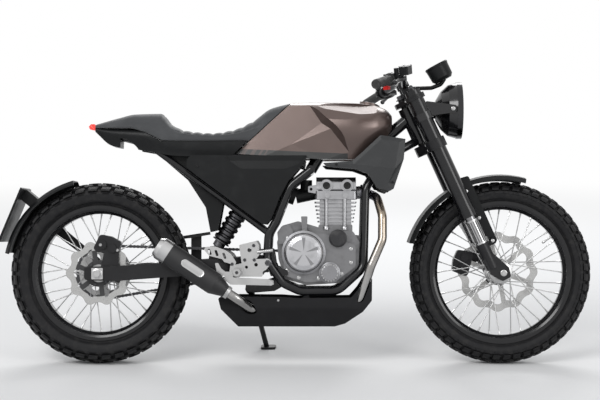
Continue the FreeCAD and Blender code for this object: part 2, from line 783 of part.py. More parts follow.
def frame():
    head_low = low_yoke + low_yoke_height + head_gap
    head_high = top_yoke - head_gap
    head = rod(on_fork(0, head_low), on_fork(0, head_high), head_tube_radius)
    spine_start = on_fork(-16, head_high - 40)
    spine = tube([(spine_start.x, 0, spine_start.z), (960, 0, 757), (762, 0, 735), (715, 0, 655)], 20.0, 60.0)
    brace = tube(spine_brace, 14.0, 40.0)
    upper_cross = rod(V(715, -cradle_y + 6, 655), V(715, cradle_y - 6, 655), tube_radius)
    reach = cradle_y + tube_radius - fit
    pivot_bolt = rod(V(pivot_x, -reach, pivot_z), V(pivot_x, reach, pivot_z), pivot_bolt_radius)
    shock_cross = rod(V(618, -cradle_y + 2, 526), V(618, cradle_y - 2, 526), 11.0)
    low_cross = rod(V(640, -cradle_y + 4, 262), V(640, cradle_y - 4, 262), 10.0)
    shock_plates = []
    for side in (-1, 1):
        low = 22 if side > 0 else -27
        shock_plates.append(plate([(498, 570), (608, 514), (628, 532), (516, 596)], low, low + 5, 8.0))
    shock_pin = rod(V(512, -27, 578), V(512, 27, 578), 6.0)
    mounts = []
    for side in (-1, 1):
        low = 34 + fit if side > 0 else -66
        mounts.append(plate([(885, 394), (904, 390), (906, 440), (886, 436)], low, low + 31.7, 4.0))
        mounts.append(plate([(660, 240), (700, 240), (700, 264), (660, 264)], side * 66 - 6, side * 66 + 6,
                            3.0))
        mounts.append(rod(V(680, side * 60, 250), V(680, side * 92, 250), 9.0))
        low = 88 + fit if side > 0 else -96
        mounts.append(plate([(566, 340), (580, 297), (638, 299), (638, 316), (600, 330), (592, 380),
                             (566, 380)],
                            low, low + 7.7, 4.0))
    cradles = pair(cradle_side())
    whole = joined(head, spine, brace, upper_cross, pivot_bolt, shock_cross, low_cross, shock_pin,
                   *shock_plates, *mounts, *cradles, stand_bracket())
    bore = rod(on_fork(0, head_low - 1), on_fork(0, head_high + 1), head_bore)
    return without(whole, bore)


def subframe_tubes(gain=0.0):
    # seat rails, their braces and the ties across them
    tubes = []
    for side in (-1, 1):
        for route in (seat_rail, rail_brace):
            tubes.append(tube([(x, side * y, z) for x, y, z in route], seat_rail_radius + gain, 60.0))
    for x, y, z in rail_ties:
        tubes.append(rod(V(x, -y, z), V(x, y, z), 9.0 + gain))
    return tubes


def subframe():
    whole = joined(*subframe_tubes())
    return without(whole, *pair(cradle_side(fit)),
                   rod(V(715, -120, 655), V(715, 120, 655), tube_radius + fit),
                   tube(spine_brace, 14.0 + fit, 40.0))


def swingarm():
    end = rear_axle.x
    side = plate([(end - 46, rear_axle.z - 22), (end - 46, rear_axle.z + 22), (end + 60, rear_axle.z + 25),
                  (pivot_x, pivot_z + 26), (pivot_x + 22, pivot_z), (pivot_x, pivot_z - 23),
                  (end + 60, rear_axle.z - 25)], -130, 130, 14.0)
    left = plan([(end - 46, arm_inner), (end - 46, arm_outer), (400, arm_outer), (500, arm_pivot_outer),
                 (pivot_x + 24, arm_pivot_outer), (pivot_x + 24, arm_pivot_inner), (430, arm_pivot_inner),
                 (arm_cross_x + 10, arm_inner)], 200, 460, 10.0)
    legs = [leg.common(side) for leg in pair(left)]
    cross = plan([(arm_cross_x, -90), (arm_cross_x, 90), (430, 90), (430, -90)], 302, 348)
    pivot_tube = rod(V(pivot_x, -arm_pivot_outer - 2, pivot_z), V(pivot_x, arm_pivot_outer + 2, pivot_z),
                     22.0)
    foot = shock_foot
    ear = plate([(foot.x - 19, foot.z - 31), (foot.x + 19, foot.z - 31), (foot.x + 11, foot.z + 13),
                 (foot.x - 11, foot.z + 13)], -27, 27, 8.0)
    ear_gap = box(foot + V(-45, -22, -23), foot + V(35, 22, 25))
    shock_pin = rod(foot + V(0, -22, 0), foot + V(0, 22, 0), 6.0)
    chain_guard = plate([(240, 418), (250, 428), (366, 446), (368, 436), (300, 424)], 71, 96)
    guard_stem = plate([(300, 330), (336, 330), (336, 438), (300, 426)], 92, 96)
    whole = joined(*legs, cross, pivot_tube, ear.cut(ear_gap), shock_pin, chain_guard, guard_stem)
    bolt = rod(V(pivot_x, -130, pivot_z), V(pivot_x, 130, pivot_z), pivot_bolt_radius + 0.2)
    slots = []
    for low in (arm_inner - 4, -arm_outer - 4):
        slots.append(plate([(end - 16, rear_axle.z - 9), (end + 16, rear_axle.z - 9),
                            (end + 16, rear_axle.z + 9), (end - 16, rear_axle.z + 9)], low, low + 32, 8.0))
    return without(whole, bolt, *slots)


def rear_axle_piece():
    reach = arm_outer + 14
    side_step = V(0, 1, 0)
    axle = rod(rear_axle - side_step * reach, rear_axle + side_step * reach, axle_radius)
    x, z = rear_axle.x, rear_axle.z
    pieces = []
    for side in (-1, 1):
        low = arm_outer + fit if side > 0 else -arm_outer - fit - 6
        pieces.append(plate([(x - 19, z - 19), (x - 19, z + 19), (x + 19, z + 19), (x + 19, z - 19)],
                            low, low + 6, 3.0))
        nut = low + 6 if side > 0 else low - 8
        pieces.append(rod(rear_axle + side_step * nut, rear_axle + side_step * (nut + 8), 13.0))
    pieces.append(rod(rear_axle + side_step * (80 + fit), rear_axle + side_step * (arm_inner - fit), 13.0))
    pieces.append(rod(rear_axle - side_step * (arm_inner - fit), rear_axle - side_step * 84.5, 13.0))
    return joined(axle, *pieces)


def shock_absorber():
    low, high = shock_foot, shock_head
    along = (high - low).normalize()
    length = (high - low).Length
    coils = 7
    spring_start, spring_end = 46.0, length - 40.0
    profile = [(0, 0), (0, 12), (20, 12), (24, 20), (spring_start - 4, 20), (spring_start - 4, 31),
               (spring_start, 31)]
    pitch = (spring_end - spring_start) / coils
    for i in range(coils):
        at = spring_start + pitch * i
        profile += [(at + pitch * 0.1, 25), (at + pitch * 0.3, 31), (at + pitch * 0.7, 31),
                    (at + pitch * 0.9, 25)]
    profile += [(spring_end, 31), (spring_end + 6, 31), (spring_end + 6, 18), (length - 20, 16),
                (length - 12, 12), (length, 12), (length, 0)]
    body = lathe(profile, low, along)
    eyes = [rod(V(p.x, -21, p.z), V(p.x, 21, p.z), 14.0) for p in (low, high)]
    pins = [rod(V(p.x, -30, p.z), V(p.x, 30, p.z), 6.0 + fit) for p in (low, high)]
    return without(joined(body, *eyes), *pins)


def chain_loop(radius_gain):
    # straight links round both sprockets, as a face in side view
    big = sprocket_teeth * chain_pitch / (2 * math.pi)
    dx, dz = front_sprocket_x - rear_axle.x, front_sprocket_z - rear_axle.z
    tilt = math.atan2(dz, dx)
    splay = math.acos((big - front_sprocket_radius) / math.hypot(dx, dz))
    centres = [(rear_axle.x, rear_axle.z, big, tilt + splay, 2 * (math.pi - splay)),
               (front_sprocket_x, front_sprocket_z, front_sprocket_radius, tilt - splay, 2 * splay)]
    corners = []
    for x, z, radius, start, sweep in centres:
        count = max(2, round(radius * sweep / (2 * chain_pitch)))
        reach = (radius + radius_gain) / math.cos(sweep / count / 2)
        for i in range(count):
            turn = start + sweep * (i + 0.5) / count
            corners.append(V(x + reach * math.cos(turn), 0, z + reach * math.sin(turn)))
    return Part.Face(outline(corners))


def chain():
    # a closed channel of straight links, open to the teeth inside
    outer, inner, room = chain_loop(chain_height / 2), chain_loop(-chain_height / 2), chain_loop(tooth_room)
    low = chain_y - chain_width / 2
    belt = moved(outer.cut(inner).extrude(V(0, chain_width, 0)), V(0, low, 0))
    channel = moved(room.extrude(V(0, 2 * tooth_room_half, 0)), V(0, chain_y - tooth_room_half, 0))
    return belt.cut(channel)


def moved(shape, by):
    shape.translate(by)
    return shape


def rear_sprocket():
    radius = sprocket_teeth * chain_pitch / (2 * math.pi)
    low = chain_y - 2.8
    ring = rod(V(0, low, 0), V(0, low + 5.6, 0), radius + 2.0, 30.0)
    windows = [turned(rod(V(56, low - 1, 0), V(56, low + 8, 0), 15.0), V(0, 0, 0), 60 * i) for i in range(6)]
    ring = without(ring, *windows)
    ring.translate(rear_axle)
    return ring


def front_sprocket():
    low = chain_y - 2.8
    centre = V(front_sprocket_x, 0, front_sprocket_z)
    return joined(rod(centre + V(0, low, 0), centre + V(0, low + 5.6, 0), front_sprocket_radius + 2.0),
                  rod(centre + V(0, 60, 0), centre + V(0, low + 12, 0), 11.0))


# Engine


def crankcase():
    corners = [(601, 410), (616, 466), (672, 482), (752, 458), (858, 448), (880, 411), (876, 322), (814, 273),
               (701, 266), (626, 287), (606, 354)]
    body = plate(corners, -62, 62, 14.0)
    deck = plate([(742, 440), (742, 470), (856, 470), (856, 440)], -56, 56, 4.0)
    step = plate(engine_step, -88, 84, 16.0)
    chain_room = plate([(560, 300), (560, 400), (690, 400), (690, 300)], 62, 100)
    lug = plate([(840, 400), (898, 396), (898, 432), (840, 438)], -34, 34, 5.0)
    hump = plate([(606, 404), (602, 444), (616, 464), (644, 470), (656, 446), (640, 408)], -84, -50, 8.0)
    pillar = plate([(682, 498), (704, 498), (701, 430), (687, 430)], -82, -50, 3.0)
    return joined(body, deck, step.cut(chain_room), lug, hump, pillar, front_sprocket())


def clutch_cover():
    profile = [(88 + fit, 0), (88 + fit, 74), (96, 74), (98, 66), (118, 64), (124, 58), (127, 44), (127, 0)]
    cover = lathe(profile, clutch_centre, V(0, -1, 0))
    x, z = clutch_centre.x, clutch_centre.z
    crease = plate([(x + 6, z), (x + 56, z + 7), (x + 56, z - 7)], -130, -124.5)
    return without(cover, *[turned(crease, clutch_centre, -90 + 72 * i) for i in range(5)])


def filter_cover():
    profile = [(88 + fit, 0), (88 + fit, 36), (100, 36), (102, 31), (110, 30), (112, 24), (112, 0)]
    return lathe(profile, filter_centre, V(0, -1, 0))


def starter():
    body = lathe([(62 + fit, 0), (62 + fit, 30), (106, 30), (110, 24), (110, 0)], V(806, 0, 424), V(0, -1, 0))
    return without(body, plate(engine_step, -88 - fit, 84, 16.0))


def stator_cover():
    return lathe([(84 + fit, 0), (84 + fit, 66), (98, 66), (108, 58), (112, 40), (112, 0)], V(772, 0, 356),
                 V(0, 1, 0))


def cylinder():
    barrel = box(V(746, -54, 470 + fit), V(852, 54, 556))
    fins = []
    for i in range(6):
        z = 478 + 13 * i
        grow = 2 * i
        fins.append(plan([(738 - grow, -62), (738 - grow, 62), (860 + grow, 62), (860 + grow, -62)], z,
                         z + 5, 10.0))
    return joined(barrel, *fins)


def cylinder_head():
    lower = plan([(730, -66), (730, 66), (872, 66), (872, -66)], 556 + fit, 584, 12.0)
    cover = across([(-62, 584), (62, 584), (58, 616), (34, 631), (-34, 631), (-58, 616)], 734, 868, 8.0)
    port = rod(V(864, 0, 580), V(884, 0, 580), 22.0)
    parts = [rod(V(x, -60, 600), V(x, -70, 600), 14.0) for x in (768, 838)]
    parts += [rod(V(x, -40, 602), V(x, -66, 602), 21.0) for x in (768, 838)]
    parts += [rod(V(x, -64, 569), V(x, -73, 569), 9.0) for x in (770, 832)]
    parts.append(plate([(706, 580), (706, 600), (740, 606), (740, 574)], -60, -50, 4.0, [(716, 590, 5.0)]))
    return joined(lower, cover, port, *parts)


def intake():
    # throttle body and rubber boot into the air filter's box
    body = rod(V(730 - fit, 0, 580), V(664, 0, 566), 24.0)
    boot = rod(V(664, 0, 566), V(580, 0, 595.6), 30.0)
    bell = rod(V(700, 0, 572), V(700, 0, 622), 20.0)
    filter_box = plate([(410, 606), (436, 677.7), (590, 677.7), (590, 606)], -airbox_half, airbox_half, 10.0)
    return without(joined(body, boot, bell, filter_box), box(V(730 - fit, -60, 500), V(760, 60, 640)))


def radiator():
    top, low = V(1010, 0, 728), V(958, 0, 578)
    along = (top - low).normalize()
    ahead = V(along.z, 0, -along.x)

    def at(up, forward):
        p = low + along * up + ahead * forward
        return (p.x, p.z)

    height = (top - low).Length
    core = plate([at(14, -14), at(14, 14), at(height - 14, 14), at(height - 14, -14)], -86, 86)
    tanks = []
    for side in (-1, 1):
        y_low = 86 if side > 0 else -106
        tanks.append(plate([at(4, -16), at(4, 16), at(height - 4, 16), at(height - 4, -16)], y_low,
                           y_low + 20, 5.0))
    grooves = []
    for i in range(12):
        low_edge = 20 + 10 * i
        grooves.append(plate([at(low_edge, 11), at(low_edge, 20), at(low_edge + 5, 20),
                              at(low_edge + 5, 11)], -82, 82))
    return without(joined(core, *tanks), *grooves, *pair(cradle_side()))


def exhaust_points():
    along = (silencer_tail - silencer_nose).normalize()
    lead = silencer_nose - along * 36
    return [(884 + fit, 0, 580), (906, 0, 580), (940, -44, 562), (956, -84, 500), (955, -100, 420),
            (916, -106, 330), (876, -98, 205), (800, -50, 180), (600, -50, 172), (510, -104, 190),
            (lead.x, lead.y, lead.z), (silencer_nose.x, silencer_nose.y, silencer_nose.z)]


def exhaust_pipe():
    collar = rod(V(884 + fit, 0, 580), V(892, 0, 580), 26.0)
    return joined(tube(exhaust_points(), pipe_radius, 45.0), collar)


def silencer():
    # a cone opening into a plain can, closed by a bright end cap
    tail, nose = silencer_tail, silencer_nose
    length = (tail - nose).Length
    outer = silencer_radius
    profile = [(fit, 0), (fit, 19), (12, 20), (60, outer), (length - 12, outer), (length - 12, outer + 1),
               (length + 20, outer + 1), (length + 34, outer - 8), (length + 34, 18), (length + 4, 18),
               (length + 4, 0)]
    return lathe(profile, nose, tail - nose)


def belly_pan():
    corners = [(404, 226), (414, 187), (471, 128), (795, 128), (830, 138), (889, 178), (919, 216), (920, 291),
               (903, 300), (876, 256), (850, 226), (672, 224), (616, 228), (470, 229)]
    outer = plate(corners, -pan_half_width, pan_half_width, 6.0)
    low_half = pan_half_width - 38
    shape = across([(-low_half, 100), (-pan_half_width, 190), (-pan_half_width, 340), (pan_half_width, 340),
                    (pan_half_width, 190), (low_half, 100)], 380, 940, 30.0)
    outer = outer.common(shape)
    wall = shell
    inner_corners = [(404 + wall, 340), (408, 226), (417, 189), (472, 128 + wall), (794, 128 + wall),
                     (829, 138 + wall), (887, 180 + wall), (916, 217), (917, 340)]
    inner = plate(inner_corners, -pan_half_width + wall, pan_half_width - wall, 6.0)
    inner_shape = across([(-low_half + wall, 100), (-pan_half_width + wall, 190),
                          (-pan_half_width + wall, 400),
                          (pan_half_width - wall, 400), (pan_half_width - wall, 190), (low_half - wall, 100)],
                         380, 940, 27.0)
    inner = inner.common(inner_shape)
    hanger = [rod(V(700, side * 108, 214), V(700, side * (pan_half_width - 2), 214), 7.0) for side in (-1, 1)]
    ties = [plate([(690, 206), (710, 206), (710, 231.7), (690, 231.7)], side * 98 - 3, side * 96 + 3,
                  3.0) for side in (-1, 1)]
    bolts = [rod(V(700, side * 92, 214), V(700, side * 112, 214), 5.0) for side in (-1, 1)]
    notch = tube(exhaust_points()[3:], pipe_radius + 5, 45.0)
    return without(joined(outer.cut(inner), *hanger, *ties, *bolts), notch)


# Bodywork


def seam_side(reach, gap):
    # everything behind and above the joint line between seat and tank
    low, high = V(seam_low[0], 0, seam_low[1]), V(seam_high[0], 0, seam_high[1])
    along = (high - low).normalize()
    out = V(-along.z, 0, along.x)
    start = low - along * 500 + out * gap
    end = high + along * 500 + out * gap
    return plate([(p.x, p.z) for p in (start, end, end + out * 900, start + out * 900)], -reach, reach)


def tank_body():
    sections = [(430, 706, 880, 84, 84, 760, 2.8), (560, 698, 884, 96, 92, 768, 2.8),
                (680, 694, 886, 112, 98, 772, 2.8), (780, 690, 887, 128, 100, 778, 2.7),
                (860, 690, 885, 134, 98, 784, 2.6), (925, 728, 878, 122, 86, 792, 2.5),
                (972, 768, 862, 92, 66, 805, 2.4), (990, 792, 844, 62, 46, 815, 2.2)]
    return loft(sections)


def flank_cut():
    # three flat panels sunk into one flank of the tank, and the slanted wall ahead of them
    tip = V(651, 90, 741)
    ledge_top, ledge_end = V(751, 87.2, 812), V(781, 101, 792)
    behind = [V(570, 91, 640), V(420, 86, 640), V(420, 52, 900), V(690, 70.6, 900)]
    crease = [V(711, 76, 872), ledge_top, ledge_end, V(845, 106, 711), V(862, 107, 640)]
    rim_low = behind + crease
    rim_high = [V(p.x, tank_reach, p.z) for p in behind]
    rim_high += [p + crease_slant * ((tank_reach - p.y) / crease_slant.y) for p in crease]
    panels = [(behind[0], behind[1]), (behind[1], behind[2]), (behind[2], behind[3]), (behind[3], crease[0]),
              (crease[0], crease[1]), (crease[1], crease[2]), (crease[2], crease[3]), (crease[3], crease[4]),
              (crease[4], behind[0])]
    faces = [flat_face(tip, a, b) for a, b in panels]
    return solid_of(faces + skirt(rim_low, rim_high) + fan(rim_high))


def shoulder_cut():
    # the flat that slopes from the tank's crown down to the ridge line along its front
    low = [V(705, 90, 870), V(797, 153, 775), V(930, 132, 830), V(945, 48, 873), V(720, 72, 882)]
    high = [p + V(0, 80, 120) for p in low]
    return solid_of(fan(low) + skirt(low, high) + fan(high))


def fan(ring):
    return [flat_face(ring[0], ring[i], ring[i + 1]) for i in range(1, len(ring) - 1)]


def skirt(low, high):
    # triangles between two rings of corners
    faces = []
    for i in range(len(low)):
        j = (i + 1) % len(low)
        faces.append(flat_face(low[i], low[j], high[j]))
        faces.append(flat_face(low[i], high[j], high[i]))
    return faces


def solid_of(faces):
    solid = Part.Solid(Part.makeShell(faces))
    if solid.Volume < 0:
        solid.reverse()
    return solid


def prism(low_ring, high_ring):
    return solid_of(fan(low_ring) + fan(high_ring) + skirt(low_ring, high_ring))


def fuel_tank():
    body = tank_body().cut(seam_side(300, 0))
    tunnel = plate([(420, 600), (420, 734), (700, 762), (1010, 824), (1010, 600)], -44, 44, 20.0)
    low_frame = plate([(600, 600), (600, 700), (760, 700), (760, 600)], -30, 30)
    body = without(body, tunnel, low_frame, *pair(flank_cut()), *pair(shoulder_cut()), *subframe_tubes(fit))
    cap = rod(filler_place - filler_axis * 24, filler_place, filler_radius)
    ring = rod(filler_place - filler_axis * 24, filler_place - filler_axis * 3, filler_radius + 7.0)
    return joined(body, ring, cap)


def seat():
    sections = [(-16, 780, 812, 42, 42, 796, 2.4), (60, 776, 833, 66, 66, 806, 2.6),
                (120, 764, 846, 84, 84, 806, 2.8), (206, 748, 848, 100, 98, 800, 2.8),
                (246, 752, 808, 104, 102, 778, 2.8), (300, 752, 788, 106, 104, 768, 3.0),
                (380, 752, 781, 102, 100, 764, 3.0), (450, 752, 792, 92, 90, 768, 2.8),
                (520, 752, 824, 82, 82, 782, 2.6), (580, 752, 866, 78, 80, 800, 2.6),
                (660, 752, 887, 80, 84, 810, 2.6)]
    body = loft(sections)
    keep = plate([(-40, 799.5), (110, 796), (156, 781), (213, 751), (500, 751), (720, 960), (-40, 960)],
                 -200, 200)
    return body.common(keep).common(seam_side(300, seam_gap))


def tail_unit():
    # the seat's plastic base and tail, with the inner fender that runs down in front of the tyre
    sections = [(-18, 786, 802, 38, 30, 792, 3.0), (40, 738, 800, 58, 44, 776, 3.0),
                (120, 725, 800, 80, 66, 768, 3.0), (180, 715, 800, 94, 84, 760, 3.0),
                (256, 702, 800, 101, 96, 736, 4.0), (380, 698, 800, 102, 99, 733, 4.0),
                (500, 700, 800, 98, 95, 733, 4.0)]
    body = loft(sections)
    keep = plate([(-40, 690), (-40, 798.8), (110, 795.2), (155.5, 780.2), (212.6, 750.2), (498, 750.2),
                  (440, 690)],
                 -200, 200)
    hollow = plate([(70, 690), (70, 762), (190, 762), (262, 738), (520, 738), (520, 690)], -70, 70)
    shell_part = without(body.common(keep).common(seam_side(300, seam_gap)), hollow)
    fender = inner_fender().common(plate([(-40, 400), (-40, 749.8), (500, 749.8), (500, 400)], -200, 200))
    return without(joined(shell_part, fender), shock_space(), cover_room(), *subframe_tubes(fit))


def cover_room():
    # keeps the fender's walls inside the airbox and the side covers
    return plate([(404, 590), (428, 684), (600, 684), (600, 590)], -airbox_half - 2, airbox_half + 2)


def tail_lamp():
    return plate([(-36, 794), (-40, 804), (-32, 812), (-18.5, 812), (-18.5, 790)], -34, 34, 2.0)


def inner_fender():
    back = [(146, 768), (181, 722), (300, 620), (360, 528), (376, 445)]
    wall_edge = [(402, 452), (418, 540), (396, 612), (330, 690), (276, 745), (190, 768)]
    outer = plate(back + wall_edge, -fender_half, fender_half)
    ahead = V(shell + 1, 0, shell)
    room_edge = [(x + 40, z + 30) for x, z in wall_edge]
    room = plate([(x + ahead.x, z + ahead.z) for x, z in back] + room_edge, shell - fender_half,
                 fender_half - shell)
    low_room = plate([(300, 400), (300, 460), (420, 460), (420, 400)], shell - fender_half,
                     fender_half - shell)
    sheet = plate(back + [(x + ahead.x, z + ahead.z) for x, z in reversed(back)], -fender_half, fender_half)
    return joined(outer.cut(room).cut(low_room), sheet)


def shock_space():
    past = (shock_head - shock_foot) * 0.07
    return rod(shock_foot, shock_head + past, 36.0)


def side_cover():
    face = plate([(300, 688), (314, 702), (706, 702), (690, 676), (640, 616), (610, 560), (584, 492),
                  (566, 470), (552, 472), (330, 636), (300, 662)], cover_inner, cover_inner + 10, 5.0)
    hollow = plate([(324, 652), (656, 648), (632, 622), (602, 566), (576, 500), (562, 482), (556, 482),
                    (338, 643)],
                   cover_inner - 1, cover_inner + 7, 4.0)
    out = cover_inner + 10
    slope = across([(out, 657), (out - 7, 684), (out - 7.5, 704), (out + 9, 704), (out + 9, 657)], 425, 705)
    facet = slope.common(plate([(425, 704), (444, 682), (480, 658), (603, 650), (675, 672), (704, 704)], 90,
                               140))
    boss = rod(V(520, airbox_half + fit, 640), V(520, cover_inner + 8, 640), 6.0)
    return joined(face.cut(hollow).cut(facet), boss)


def shroud():
    face = plate([(756, 676), (852, 682), (886, 712), (948, 770), (1032, 757), (1026, 690), (992, 590),
                  (978, 582), (936, 592), (906, 640), (862, 656), (768, 664)], shroud_inner,
                  shroud_inner + 24, 6.0)
    hollow = plate([(766, 670), (852, 674), (890, 704), (950, 760), (1022, 750), (1017, 690), (986, 598),
                    (942, 600), (912, 648), (864, 662)], shroud_inner - 1, shroud_inner + 18, 4.0)
    tab = rod(V(990, 106 + fit, 660), V(990, shroud_inner + 21, 660), 8.0)
    return without(joined(face.cut(hollow), tab), tank_body(), shroud_facets())


def shroud_facets():
    # trims the outer face above and below its crease line, so that it is proud along the line
    proud = shroud_inner + 24
    upper = prism([V(740, proud, 650), V(1050, proud, 640), V(1050, proud - 9, 790), V(740, proud - 9, 790)],
                  [V(740, proud + 30, 650), V(1050, proud + 30, 640), V(1050, proud + 30, 790),
                   V(740, proud + 30, 790)])
    lower = prism([V(740, proud - 7, 560), V(1050, proud - 7, 560), V(1050, proud, 642), V(740, proud, 666)],
                  [V(740, proud + 30, 560), V(1050, proud + 30, 560), V(1050, proud + 30, 642),
                   V(740, proud + 30, 666)])
    return joined(upper, lower)


def rear_mudguard():
    start, end = rear_guard_span
    half = rear_tyre_width / 2 + 6
    radius = rear_tyre_radius + 20
    profile = [(-half, radius - 10), (-half + 12, radius), (half - 12, radius), (half, radius - 10),
               (half, radius - 16),
               (half - shell, radius - 16), (half - 13, radius - shell), (13 - half, radius - shell),
               (shell - half, radius - 16), (-half, radius - 16)]
    face = Part.Face(outline([V(r, y, 0) for y, r in profile]))
    guard = face.revolve(V(0, 0, 0), V(0, 1, 0), -(end - start))
    guard.rotate(V(0, 0, 0), V(0, 1, 0), -start)
    guard.translate(rear_axle)
    return joined(guard, guard_arm(), plate_holder())


def guard_arm():
    # carries the rear mudguard from the left end of the swingarm
    half = rear_tyre_width / 2 + 6
    low = chain_y + chain_width / 2 + 2
    x, z = rear_axle.x, rear_axle.z
    tip = rear_axle + V(-0.75, 0, 0.66) * (rear_tyre_radius + 9)
    arm = plate([(x - 30, z + 24), (x + 6, z + 28), (tip.x + 4, tip.z + 20), (tip.x - 26, tip.z - 9)], low,
                low + 5, 6.0)
    foot = plate([(x - 38, z + 22.6), (x + 10, z + 23.9), (x + 4, z + 38), (x - 30, z + 34)], low,
                 arm_inner + 12, 1.0)
    tab = rod(tip + V(0, half - 10, 0), tip + V(0, low + 2, 0), 8.0)
    return joined(arm, foot, tab)


def plate_holder():
    # the bracket behind the rear mudguard that carries the number plate
    tip = rear_axle + V(-0.66, 0, 0.75) * rear_tyre_radius
    x, z = tip.x, tip.z
    stem = plate([(x - 4, z + 16), (x - 50, z + 54), (x - 74, z + 24), (x - 30, z - 12)], -30, 30, 6.0)
    panel = plate([(x - 60, z + 60), (x - 54, z + 56), (x - 128, z - 124), (x - 136, z - 122)], -92, 92)
    room = rod(rear_axle + V(0, -100, 0), rear_axle + V(0, 100, 0), rear_tyre_radius + 18)
    return joined(stem, panel).cut(room)


# Rider's controls and rests


def rest_plate():
    # the plates of one side that carry the footrest, with the heel guard behind them
    low_plate = plate([(472, 338), (503, 346), (531, 355), (574, 356), (582, 342), (568, 322), (554, 312),
                       (554, 296),
                       (465, 296), (442, 304), (446, 334)], 120, 127, 5.0, [(500, 328, 5.0), (532, 336, 6.0)])
    high_plate = plate([(475, 402), (533, 416), (541, 402), (544, 371), (524, 344), (484, 340)],
                       120, 126, 4.0, [(510, 385, 7.0)])
    link = rod(V(536, 127.5, 378), V(588, 127.5, 384), 6.0)
    guard = plate([(357, 387), (366, 396), (396, 397), (431, 384), (449, 371), (466, 344), (456, 326),
                   (444, 340), (426, 345), (418, 355), (375, 366)], 120, 126, 4.0)
    slots = []
    for x, z in ((377, 379), (400, 375), (426, 366)):
        slots.append(plate([(x - 8, z + 10), (x + 1, z + 10), (x + 8, z - 10), (x - 1, z - 10)], 119, 127,
                           3.5))
    boss = rod(V(568, cradle_y + 14.2, 344), V(568, 126, 344), 13.0)
    peg = rod(V(peg_x, 125, peg_z), V(peg_x, 214, peg_z), 11.0)
    ribs = [rod(V(peg_x, 140 + 14 * i, peg_z), V(peg_x, 146 + 14 * i, peg_z), 13.0) for i in range(5)]
    return joined(low_plate, high_plate, link, guard.cut(joined(*slots)), boss, peg, *ribs)


def brake_pedal():
    arm = plate([(395, 342), (406, 342), (416, 324), (430, 313), (454, 313), (456, 294), (574, 288),
                 (590, 284), (592, 270), (580, 267), (448, 270), (429, 283), (414, 297), (401, 314)],
                -134.5, -127 - fit, 3.0,
                [(424, 296, 4.0)])
    pad = rod(V(582, -170, 276), V(582, -127 - fit, 276), 8.0)
    return joined(arm, pad)


def gear_lever():
    arm = plate([(470, 312), (476, 326), (600, 338), (604, 324)], 127 + fit, 134, 5.0)
    pad = rod(V(592, 127 + fit, 330), V(592, 168, 330), 8.0)
    return joined(arm, pad).cut(rod(V(peg_x, 126, peg_z), V(peg_x, 220, peg_z), 13 + fit))


def rear_caliper():
    body = caliper(rear_axle, rear_disc_y, -70.0, rear_disc_radius)
    x, z = rear_axle.x, rear_axle.z
    carrier = plate([(x + 10, z + 23.9), (x + 60, z + 25.3), (x + 70, z + 26), (x + 70, z + 66),
                     (x + 20, z + 66)],
                    -99, -88.5)
    return joined(body, carrier)


# Side stand


def stand_bracket():
    # frame plate, boss and pin that the side stand turns on
    at = stand_pivot
    block = plate([(at.x - 18, at.z - 12), (at.x - 14, at.z + 16), (at.x + 40, at.z + 22), (612, 296),
                   (640, 268), (590, 240), (at.x + 10, at.z - 18)], 94, 105, 8.0)
    axis = stand_axis()
    boss = rod(at - axis * 24, at - axis * stand_boss_gap, 15.0)
    pin = rod(at - axis * 20, at + axis * 13, stand_pin_radius)
    head = rod(at + axis * (9 + fit), at + axis * 14, 10.0)
    return joined(block, boss, pin, head)


def ground_height(y):
    # height of the ground in the upright machine's frame: it meets the edges of the tyres' middle rows
    return (y - middle_row_half) * math.tan(math.radians(lean))


def stand_axis():
    turn = math.radians(stand_tilt)
    return V(0, math.cos(turn), math.sin(turn))


def side_stand():
    foot = V(stand_foot_x, stand_foot_y, ground_height(stand_foot_y))
    axis = stand_axis()
    leg = rod(stand_pivot + axis * 4, foot + V(0, 0, 4), stand_radius)
    eye = rod(stand_pivot - axis * (stand_boss_gap - fit), stand_pivot + axis * 9, 17.0)
    flat = [V(-22, -26, 0), V(30, -20, 0), V(34, 22, 0), V(-18, 26, 0)]
    level = FreeCAD.Rotation(V(1, 0, 0), lean)
    pad = Part.Face(outline([foot + level.multVec(p) for p in flat], 10.0))
    pad = pad.extrude(level.multVec(V(0, 0, foot_thickness)))
    under = Part.makeBox(400, 400, 100, V(-200, -200, -100))
    under.rotate(V(0, 0, 0), V(1, 0, 0), lean)
    under.translate(foot)
    hole = rod(stand_pivot - axis * 20, stand_pivot + axis * 9, stand_pin_radius + bearing_fit)
    head_room = rod(stand_pivot + axis * 9, stand_pivot + axis * 40, 14.0)
    return without(joined(leg, eye, pad), under, hole, head_room)


# Assembly


